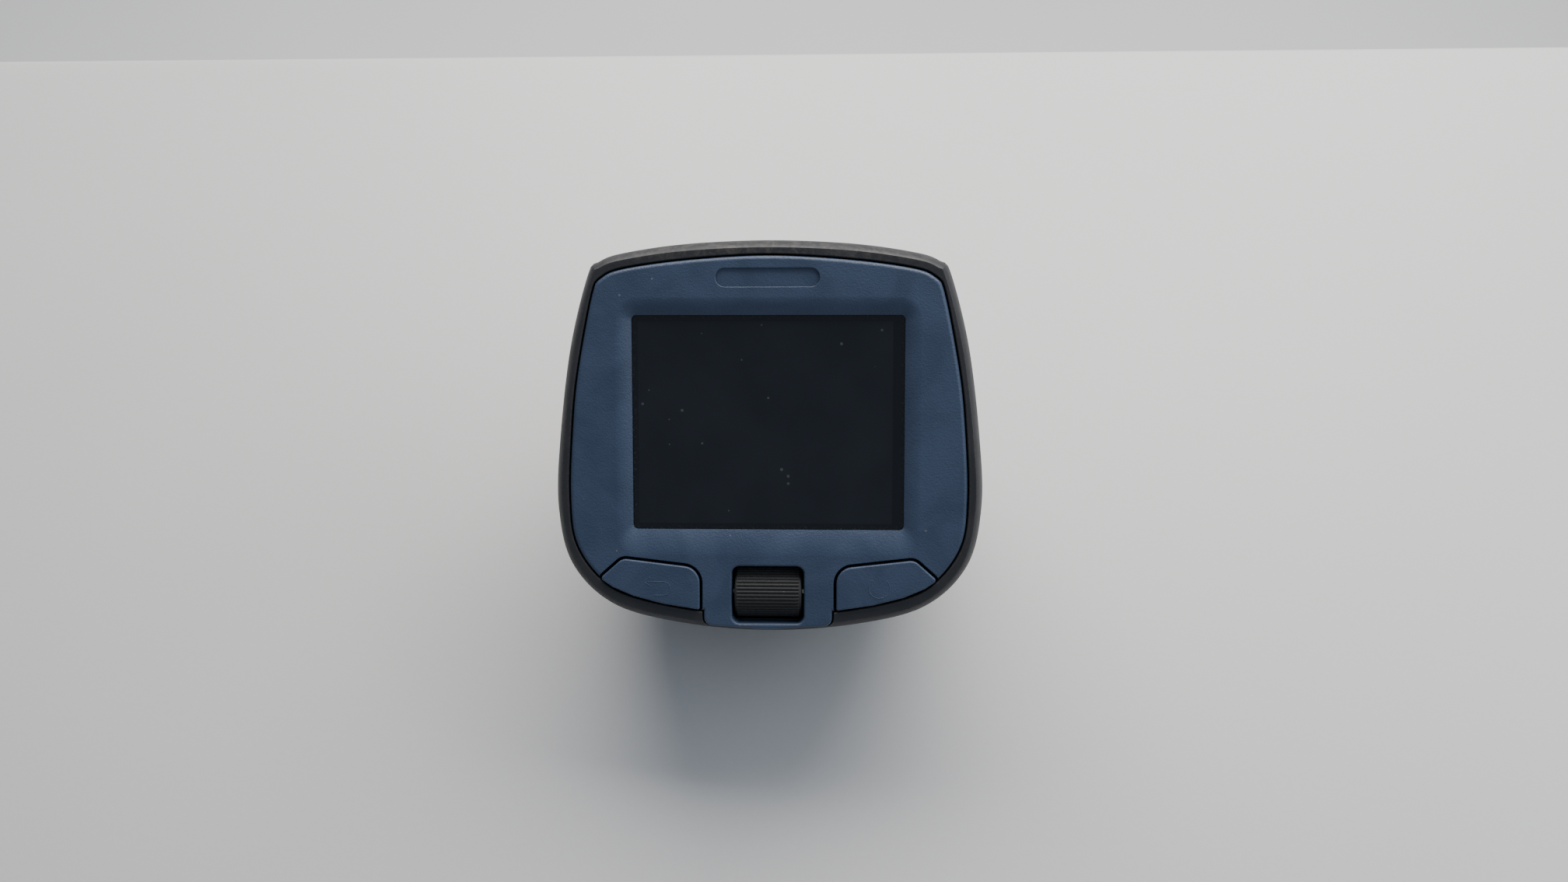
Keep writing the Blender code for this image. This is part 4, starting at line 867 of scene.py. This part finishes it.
TAPER_DEPTH = 12.0
TAPER_POWER = 2.4
BODY_DEPTH = 55.95
PORT_FLOOR_X = 33.1
COVER_SPAN = (-14.0, 9.0)
COVER_DEPTHS = (-16.9, -10.9)
FOOT_U = -47.0
FOOT_V = 13.169
PAD_X = 11.5
PAD_V = 9.5
DOOR_PLANE = 30.0
DOOR_SPAN = (-37.2, -6.0)
HINGE = (41.115, -6.15)
HINGE_RADIUS = 1.8
HINGE_MIDDLE = 7.0
HINGE_LENGTH = 12.5
STUD_U = -32.5
STUD_SKIN = 42.0
STUD_SHANK = 1.3
BOSS_RADIUS = 3.4
PIN_BORE = 0.75
CASE_SCREW = (27.0, -21.0)
WELL_RADIUS = 2.3
WELL_WALL = 3.44
WELL_FLOOR = -14
JACK = (3.5, -13.4)
DATA_HOLE = ((-12.15, -3.85), (-15.1, -10.7))
GRILLE_CENTRE = -26
GRILLE_REACH = 8.5
GRILLE_PITCH = 2.4
SOCKET_ROOM = 8.3
FAR = 90.0


def standing(x, v, u):
    """A place given on the standing device: across, back and up."""
    return Vector((x, v * math.cos(LEAN) + u * math.sin(LEAN), u * math.cos(LEAN) - v * math.sin(LEAN)))


def skin_section(depth, inset=0.0):
    """The skin's outline at a depth behind the face, or that of a surface inside it."""
    outline = evened(grown(surround_outline, -inset), 260) if inset else surround_outline
    reach = 1 / np.linalg.norm(outline / np.abs(outline).max(axis=0), axis=1)
    roundness = float(np.clip((depth - TAPER_DEPTH) / (BODY_DEPTH - TAPER_DEPTH), 0, 1))
    share = max(0.0, depth - TAPER_DEPTH) / (BODY_DEPTH - inset - TAPER_DEPTH)
    scale = math.sqrt(max(0.0, 1 - share**TAPER_POWER))
    return level(outline * (1 - roundness + roundness * reach)[:, None] * scale, -depth)


def egg(name, first_depth, inset=0.0, rows=30):
    """The solid inside the skin, from a depth to the tail."""
    angles = np.radians(np.linspace(0, 87.5, rows))
    depths = TAPER_DEPTH + (BODY_DEPTH - inset - TAPER_DEPTH) * np.sin(angles)
    return lofted(name, [skin_section(depth, inset) for depth in [first_depth, *depths]])


def hinge_bar(name, radius, start, end, sides=48):
    """A round bar on the door's hinge line between two places across."""
    return rod(name, radius, standing(start, *HINGE), standing(end, *HINGE), sides)


shell = egg("shell", SEAM_DEPTH)
hollow = egg("hollow", SEAM_DEPTH - 2, WALL)
low, high = DOOR_SPAN
cut(
    hollow,
    block("foot_floor", (-FAR, FAR), (-FAR, FAR), (-80, FOOT_U + WALL), True),
    block("top_ledge", (-FAR, FAR), (27, 60), (high - 0.5, high + 2.2), True),
    block("low_ledge", (-FAR, FAR), (22, 60), (low - 2.2, low + 0.5), True),
    block("port_pad", (PORT_FLOOR_X - 2.9, 60), (COVER_SPAN[0] - 1.5, COVER_SPAN[1] + 1.5), (-18.5, 0)),
    block("rib", (-3, 3), (22, DOOR_PLANE - GAP), (low - 1, STUD_U), True),
    rod("boss", BOSS_RADIUS, standing(0, 22, STUD_U), standing(0, DOOR_PLANE - GAP, STUD_U)),
)
for x in (CASE_SCREW[0], -CASE_SCREW[0]):
    cut(hollow, rod("well_wall", WELL_WALL, (x, CASE_SCREW[1], -60), (x, CASE_SCREW[1], -2), 37))
cut(
    shell,
    hollow,
    block("foot", (-FAR, FAR), (-FAR, FAR), (-80, FOOT_U), True),
    block("door_room", (-FAR, FAR), (DOOR_PLANE - GAP / 2, 80), (low, high), True),
    hinge_bar("middle_room", HINGE_RADIUS + 0.35, -HINGE_MIDDLE - GAP, HINGE_MIDDLE + GAP),
)
for side in (-1, 1):
    join(shell, hinge_bar("knuckle", HINGE_RADIUS, side * (HINGE_MIDDLE + 0.4), side * HINGE_LENGTH))
cut(
    shell,
    hinge_bar("pin_bore", PIN_BORE, -HINGE_LENGTH - 2, HINGE_LENGTH + 2, 24),
    rod("stud_bore", STUD_SHANK + 0.75, standing(0, DOOR_PLANE - 4, STUD_U), standing(0, 40, STUD_U)),
    block("recess", (PORT_FLOOR_X, 60), (COVER_SPAN[0] - GAP, COVER_SPAN[1] + GAP),
          (COVER_DEPTHS[0] - GAP, COVER_DEPTHS[1] + GAP)),
    block("data_hole", (20, PORT_FLOOR_X + 1), *DATA_HOLE),
    rod("jack_hole", 2.5, (20, *JACK), (40, *JACK)),
)
for side in (-1, 1):
    x = side * CASE_SCREW[0]
    cut(
        shell,
        rod("well", WELL_RADIUS, (x, CASE_SCREW[1], -70), (x, CASE_SCREW[1], WELL_FLOOR)),
        rod("hole", 1.1, (x, CASE_SCREW[1], -20), (x, CASE_SCREW[1], 0), 24),
    )
for step in range(-3, 4):
    middle = GRILLE_PITCH * step
    reach = math.sqrt(GRILLE_REACH**2 - middle**2)
    slot = rounded_box(middle - 0.6, middle + 0.6, GRILLE_CENTRE - reach, GRILLE_CENTRE + reach, 0.55, 5)
    slot = lofted("slot", [level(slot, end) for end in (24.3, 60)])
    slot.data.transform(Matrix.Rotation(math.pi / 2, 4, "X"))
    cut(shell, slot)
socket_end = standing(0, FOOT_V, FOOT_U + WALL + 4)
cut(shell, rod("socket", SOCKET_ROOM, standing(0, FOOT_V, FOOT_U - 5), socket_end, 64))
for x in (-PAD_X, PAD_X):
    for v in (-PAD_V, PAD_V):
        seat_end = standing(x, FOOT_V + v, FOOT_U + 1.2)
        cut(shell, rod("pad_seat", 2.9, standing(x, FOOT_V + v, FOOT_U - 5), seat_end))
seated(shell, "rear_shell_moulding", "housing", BLACK_PLASTIC, ["rear_shell"])


# ---------------------------------------------------------------- port cover
# A strip of soft rubber that closes the port recess flush with the skin. It bends on its rear edge, and a
# half-round nick in the front edge gives the fingernail a hold.

hinge_x = surround_outline[:, 0].max() + 0.15
hinge_z = COVER_DEPTHS[0] - GAP / 2
cover = lofted("cover", [
    level(rounded_box(PORT_FLOOR_X + GAP, 60, *COVER_SPAN, 0.05), end) for end in COVER_DEPTHS
])
common(cover, egg("skin", SEAM_DEPTH))
swing = COVER_DEPTHS[1] - hinge_z + GAP / 2
common(cover, rod("swing", swing, (hinge_x, -60, hinge_z), (hinge_x, 60, hinge_z), 128))
middle = sum(COVER_SPAN) / 2
cut(cover, rod("nick", 2.2, (30, middle, COVER_DEPTHS[1] + 1.1), (50, middle, COVER_DEPTHS[1] + 1.1)))
seated(cover, "port_cover_moulding", "port_cover", SOFT_BLACK, ["port_cover"])


# ---------------------------------------------------------------- battery door
# A domed lid in the same hard plastic, hinged on a steel pin along its top edge. A turned steel stud with a
# coin slot holds its foot, and sits in a round recess so that it does not catch on anything.

SILL_SKIN = 40.42
DOOR_WALL = 2.0
STUD_HEAD = 3.18
sill = math.hypot(HINGE[0] - SILL_SKIN, HINGE[1] - low)


def spun(name, profile, base, along, steps=48):
    """A turned piece: pairs of radius and height, from a base along a direction."""
    angles = np.linspace(0, 2 * math.pi, steps, endpoint=False)
    circle = np.column_stack([np.cos(angles), np.sin(angles)])
    made = lofted(name, [level(circle * radius, height) for radius, height in profile])
    turn = Vector(along).to_track_quat("Z", "X").to_matrix().to_4x4()
    made.data.transform(Matrix.Translation(Vector(base)) @ turn)
    return made


door = egg("door", SEAM_DEPTH)
common(
    door,
    block("span", (-FAR, FAR), (DOOR_PLANE + GAP / 2, 80), (low + GAP, high - GAP), True),
    hinge_bar("sweep", sill - GAP, -FAR, FAR, 240),
)
hollow = egg("hollow", SEAM_DEPTH, DOOR_WALL)
common(
    hollow,
    block("inner_span", (-FAR, FAR), (20, 80), (low + GAP + DOOR_WALL, high - GAP - DOOR_WALL), True),
    hinge_bar("inner_sweep", sill - GAP - DOOR_WALL, -FAR, FAR, 240),
)
cut(hollow, rod("boss", BOSS_RADIUS, standing(0, 15, STUD_U), standing(0, 60, STUD_U)))
cut(door, hollow)
join(door, hinge_bar("middle_knuckle", HINGE_RADIUS, -HINGE_MIDDLE - GAP, HINGE_MIDDLE + GAP))
for side in (-1, 1):
    cut(door, hinge_bar("room", HINGE_RADIUS + 0.35, side * HINGE_MIDDLE, side * (HINGE_LENGTH + 0.4)))
cut(
    door,
    hinge_bar("pin_bore", PIN_BORE, -HINGE_LENGTH - 2, HINGE_LENGTH + 2, 24),
    rod("recess", 3.5, standing(0, STUD_SKIN - 1.7, STUD_U), standing(0, 60, STUD_U), 64),
    rod("hole", 1.6, standing(0, 20, STUD_U), standing(0, 60, STUD_U)),
)
seated(door, "battery_door_moulding", "battery_door", BLACK_PLASTIC, ["battery_door"])

tip = DOOR_PLANE - GAP - 1.7
under = STUD_SKIN - 1.45 - tip
top = STUD_SKIN + 0.1 - tip
stud = spun("stud", [
    (STUD_SHANK - 0.25, 0), (STUD_SHANK, 0.25), (STUD_SHANK, under), (STUD_HEAD - 0.18, under),
    (STUD_HEAD, under + 0.18), (STUD_HEAD, top - 0.3), (STUD_HEAD - 0.08, top - 0.1), (STUD_HEAD - 0.28, top),
], standing(0, tip, STUD_U), standing(0, 1, 0))
coin_height = (STUD_U - 0.5, STUD_U + 0.5)
cut(stud, block("coin_slot", (-2.6, 2.6), (STUD_SKIN - 0.8, STUD_SKIN + 3), coin_height, True))
seated(stud, "turned_stud", "door_stud", STAMPED_STEEL, ["door_stud"])
dressed(STAMPED_STEEL, "hinge_pin", "case_screw_left", "case_screw_right")


# ---------------------------------------------------------------- foot pads
# Four soft rubber buttons pressed into round seats under the foot, one at each corner.

PAD_SIZES = {"Across": 2 * PAD_X, "Along": 2 * PAD_V, "Radius": 2.58, "Height": 1.68}


def foot_pads():
    """Geometry nodes: one domed button set on the four corners of a grid."""
    tree = bpy.data.node_groups.new("foot_pads", "GeometryNodeTree")
    for title, value in PAD_SIZES.items():
        tree.interface.new_socket(title, in_out="INPUT", socket_type="NodeSocketFloat").default_value = value
    tree.interface.new_socket("Finish", in_out="INPUT", socket_type="NodeSocketMaterial")
    tree.interface.new_socket("Geometry", in_out="OUTPUT", socket_type="NodeSocketGeometry")
    start = tree.nodes.new("NodeGroupInput")
    end = tree.nodes.new("NodeGroupOutput")
    corners = node(tree, "GeometryNodeMeshGrid", None, {
        "Size X": start.outputs["Across"], "Size Y": start.outputs["Along"], "Vertices X": 2, "Vertices Y": 2,
    })
    button = node(tree, "GeometryNodeMeshCylinder", None, {
        "Vertices": 40, "Radius": start.outputs["Radius"], "Depth": start.outputs["Height"],
    })
    pads = node(tree, "GeometryNodeInstanceOnPoints", None, {"Points": corners, "Instance": button})
    real = node(tree, "GeometryNodeRealizeInstances", None, {"Geometry": pads})
    done = node(tree, "GeometryNodeSetMaterial", None, {
        "Geometry": real, "Material": start.outputs["Finish"],
    })
    tree.links.new(done.outputs[0], end.inputs["Geometry"])
    return tree


pads = grown_by(foot_pads(), "pads", {**PAD_SIZES, "Finish": MATT_RUBBER})
bevel = pads.modifiers.new("soft_edge", "BEVEL")
bevel.width = 0.3
bevel.segments = 3
bevel.use_clamp_overlap = True
baked(pads)
pads.data.transform(Matrix.Rotation(-LEAN, 4, "X") @ Matrix.Translation((0, FOOT_V, FOOT_U + 0.06)))
seated(pads, "foot_pads", "housing", MATT_RUBBER, ["foot_pad_1", "foot_pad_2", "foot_pad_3", "foot_pad_4"])
dressed(BLACK_PLASTIC, "ball_socket", "speaker_frame")
dressed(MATT_RUBBER, "main_gasket")


# ---------------------------------------------------------------- cells
# Two AA cells side by side, pointing opposite ways. Each is a drawn steel can in a printed plastic sleeve that
# is shrunk over both shoulders: black for most of its length and copper at the plus end.

def sleeve_finish(name, side):
    """The printed sleeve: black, a thin pale line, copper towards the plus end, and bare can past the ends."""
    material, tree, shader = new_finish(name)
    place = group(tree, DEVICE_PLACE)
    across = math_node(tree, "MULTIPLY", node(tree, "ShaderNodeSeparateXYZ", None, {0: place}), float(side))
    skin = group(tree, MOULDED_GRAIN, Grain_Size=0.5, Patch_Size=4.0)
    copper = ramp(tree, across, 11.4, 11.5)
    line = math_node(tree, "MULTIPLY", ramp(tree, across, 10.5, 10.6), ramp(tree, across, 11.1, 11.0))
    colour = mixed(tree, copper.outputs[0], (0.022, 0.022, 0.024), (0.42, 0.20, 0.075))
    colour = mixed(tree, line.outputs[0], colour, (0.50, 0.49, 0.46))
    can = math_node(tree, "MAXIMUM", ramp(tree, across, 24.1, 24.2), ramp(tree, across, -24.1, -24.2))
    colour = mixed(tree, can.outputs[0], colour, (0.60, 0.60, 0.59))
    rubbed = group(tree, EDGE_WEAR, Radius=0.0003, Onset=0.08, Break_up=0.5)
    colour = mixed(tree, math_node(tree, "MULTIPLY", rubbed, 0.5).outputs[0], colour, (0.62, 0.61, 0.58))
    handled = math_node(tree, "MULTIPLY", skin.outputs["Patch"], 0.2)
    shade = mixed(tree, handled.outputs[0], colour, (0.12, 0.11, 0.10))
    bump = node(tree, "ShaderNodeBump", None, {
        "Strength": 0.5, "Distance": 0.00001, "Height": skin.outputs["Height"],
    })
    tree.links.new(shade, shader.inputs["Base Color"])
    tree.links.new(math_node(tree, "MAXIMUM", can, math_node(tree, "MULTIPLY", copper, 0.4)).outputs[0],
                   shader.inputs["Metallic"])
    tree.links.new(ramp(tree, skin.outputs["Patch"], 0, 1, 0.26, 0.38).outputs[0], shader.inputs["Roughness"])
    tree.links.new(bump.outputs[0], shader.inputs["Normal"])
    return material


for name, y, side in (("battery_upper", 8.0, 1), ("battery_lower", -8.0, -1)):
    cell = spun("cell", [
        (5.6, 0.0), (6.1, 0.0), (6.2, 0.0), (6.6, 0.02), (6.95, 0.14), (7.18, 0.4), (7.24, 0.8),
        (7.24, 48.0), (7.18, 48.5), (6.95, 48.8), (6.5, 48.96), (6.2, 49.0), (6.0, 48.8), (3.0, 48.8),
        (2.75, 48.9), (2.72, 50.1), (2.6, 50.38), (2.35, 50.5),
    ], (-side * 24.5, y, -29.0), (side, 0, 0))
    seated(cell, f"{name}_cell", "housing", sleeve_finish(f"{name}_sleeve", side), [name])


# ---------------------------------------------------------------- inner works
# The green board carries a steel shield, a coin cell, a ceramic aerial, the card slot and the two sockets; the
# moulded tray behind it holds the cells between nickel-plated springs and contacts, and a paper-cone speaker.

def worked(name, dark, light, worn, sizes, bumps, rough):
    """Fired or plated: patches of tone, rubbed edges and a fine grain."""
    material, tree, shader = new_finish(name)
    skin = group(tree, MOULDED_GRAIN, Grain_Size=sizes[0], Patch_Size=sizes[1])
    colour = mixed(tree, skin.outputs["Patch"], dark, light)
    rubbed = group(tree, EDGE_WEAR, Radius=sizes[2], Onset=0.08, Break_up=sizes[3])
    colour = mixed(tree, math_node(tree, "MULTIPLY", rubbed, 0.5).outputs[0], colour, worn)
    bump = node(tree, "ShaderNodeBump", None, {
        "Strength": bumps[0], "Distance": bumps[1], "Height": skin.outputs["Height"],
    })
    tree.links.new(colour, shader.inputs["Base Color"])
    tree.links.new(ramp(tree, skin.outputs["Patch"], 0, 1, *rough).outputs[0], shader.inputs["Roughness"])
    tree.links.new(bump.outputs[0], shader.inputs["Normal"])
    return material, shader


CERAMIC, _ = worked(
    "fired_ceramic", (0.42, 0.33, 0.22), (0.55, 0.45, 0.32), (0.72, 0.66, 0.55),
    sizes=(0.25, 2.5, 0.0002, 0.5), bumps=(0.8, 0.00002), rough=(0.5, 0.75),
)
GOLD_PLATE, shader = worked(
    "gold_plate", (0.70, 0.47, 0.17), (0.86, 0.64, 0.28), (0.92, 0.80, 0.52),
    sizes=(0.3, 1.5, 0.00015, 0.4), bumps=(0.6, 0.000008), rough=(0.22, 0.36),
)
shader.inputs["Metallic"].default_value = 1.0

PRESSED_PAPER, _, _ = moulded(
    "pressed_paper", (0.024, 0.022, 0.020), (0.042, 0.038, 0.034), (0.11, 0.10, 0.09),
    grain=0.35, depth=0.03, rough=(0.75, 0.9),
)
CARD_BLACK, _, _ = moulded(
    "card_black_plastic", (0.020, 0.020, 0.024), (0.030, 0.030, 0.036), (0.10, 0.10, 0.11),
    grain=0.18, depth=0.006, rough=(0.34, 0.48),
)
dressed(CIRCUIT_BOARD, "main_board")
dressed(
    STAMPED_STEEL, "board_screw_1", "board_screw_2", "shield_can", "backup_cell", "card_slot",
    "usb_connector", "battery_spring_upper", "battery_spring_lower", "contact_left", "contact_right",
)
dressed(CERAMIC, "patch_antenna")
dressed(GOLD_PLATE, "antenna_jack")
dressed(CARD_BLACK, "memory_card")
dressed(BLACK_PLASTIC, "battery_tray")
dressed(PRESSED_PAPER, "speaker_cone")




# ---------------------------------------------------------------- table, light and camera
# The device stands on a pale table whose far edge lies just behind it. A wide soft light hangs behind and
# above it, so the table darkens towards the front, and a weak one fills the shade. A pale floor lies beyond.

PALE_TABLE, tree, shader = new_finish("pale_table")
where = node(tree, "ShaderNodeTexCoord")
flecks = node(tree, "ShaderNodeTexNoise", None, {
    "Vector": where.outputs["Object"], "Scale": 900.0, "Detail": 3.0,
})
cloud = node(tree, "ShaderNodeTexNoise", None, {"Vector": where.outputs["Object"], "Scale": 9.0, "Detail": 3.0})
tone = math_node(tree, "ADD", math_node(tree, "MULTIPLY", flecks, 0.4), math_node(tree, "MULTIPLY", cloud, 0.6))
colour = mixed(tree, tone.outputs[0], (0.635, 0.612, 0.590), (0.715, 0.692, 0.668))
bump = node(tree, "ShaderNodeBump", None, {"Strength": 0.3, "Distance": 0.00005, "Height": flecks})
tree.links.new(colour, shader.inputs["Base Color"])
tree.links.new(ramp(tree, cloud, 0.3, 0.7, 0.42, 0.52).outputs[0], shader.inputs["Roughness"])
tree.links.new(bump.outputs[0], shader.inputs["Normal"])

table_outline = rounded_box(-520, 520, -620, 129.5, 12)
table_sections = [level(grown(table_outline, -1.5), -24), level(table_outline, -22.5)]
for step in range(7):
    angle = math.pi / 2 * step / 6
    table_sections.append(level(grown(table_outline, -2 * (1 - math.cos(angle))), -2 + 2 * math.sin(angle)))
table = lofted("pale_table_top", table_sections)
table.data.transform(Matrix.Scale(MM, 4))
table.data.materials.append(PALE_TABLE)
table.data.shade_smooth()
table.data.set_sharp_from_angle(angle=math.radians(30))
floor = lofted("pale_floor", [level(rounded_box(-900, 900, 132, 1500, 5), z) for z in (-190, -180)])
floor.data.transform(Matrix.Scale(MM, 4))
PALE_FLOOR, tree, shader = new_finish("pale_floor")
where = node(tree, "ShaderNodeTexCoord")
cloud = node(tree, "ShaderNodeTexNoise", None, {"Vector": where.outputs["Object"], "Scale": 5.0, "Detail": 3.0})
colour = mixed(tree, cloud, (0.48, 0.475, 0.465), (0.54, 0.535, 0.525))
tree.links.new(colour, shader.inputs["Base Color"])
tree.links.new(colour, shader.inputs["Emission Color"])
tree.links.new(ramp(tree, cloud, 0.3, 0.7, 0.7, 0.8).outputs[0], shader.inputs["Roughness"])
shader.inputs["Emission Strength"].default_value = 0.5
floor.data.materials.append(PALE_FLOOR)
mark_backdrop(table, floor)

world = bpy.data.worlds.new("soft_room")
world.use_nodes = True
world.node_tree.nodes["Background"].inputs[0].default_value = (0.37, 0.43, 0.52, 1)
world.node_tree.nodes["Background"].inputs[1].default_value = 0.62
bpy.context.scene.world = world

centre = DEVICE.translation


def soft_light(name, place, aim, size, power, tint):
    data = bpy.data.lights.new(name, "AREA")
    data.shape = "RECTANGLE"
    data.size, data.size_y = size
    data.energy = power
    data.color = tint
    lamp = bpy.data.objects.new(name, data)
    lamp.location = place
    lamp.rotation_euler = (Vector(aim) - Vector(place)).to_track_quat("-Z", "Y").to_euler()
    bpy.context.scene.collection.objects.link(lamp)


soft_light("wide_light", (0.05, 0.36, 0.36), (0, 0.05, 0.0), (0.66, 0.34), 5.2, (1.0, 0.985, 0.96))
soft_light("fill_light", (0.42, 0.05, 0.30), (0, 0, 0.03), (0.4, 0.4), 0.9, (0.84, 0.92, 1.0))

camera_data = bpy.data.cameras.new("camera")
camera_data.sensor_width = 36.0
camera_data.lens = 27.2
camera_data.clip_start = 0.01
camera = bpy.data.objects.new("camera", camera_data)
bpy.context.scene.collection.objects.link(camera)
bpy.context.scene.camera = camera
up_the_face = (DEVICE.to_3x3() @ Vector((0, 1, 0))).normalized()
sight = DEVICE.to_3x3() @ Vector((math.tan(math.radians(3.0)), math.tan(math.radians(4.5)), 1))
sight.normalize()


def looking(back):
    """A turn that looks against the direction, with the face upright in the picture."""
    right = up_the_face.cross(back).normalized()
    return Matrix((right, back.cross(right), back)).transposed()


aim = centre + looking(sight) @ Vector((2.7, -0.64, 0)) * MM
camera.location = centre + sight * 0.195
camera.rotation_euler = looking((camera.location - aim).normalized()).to_euler()

low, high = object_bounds()
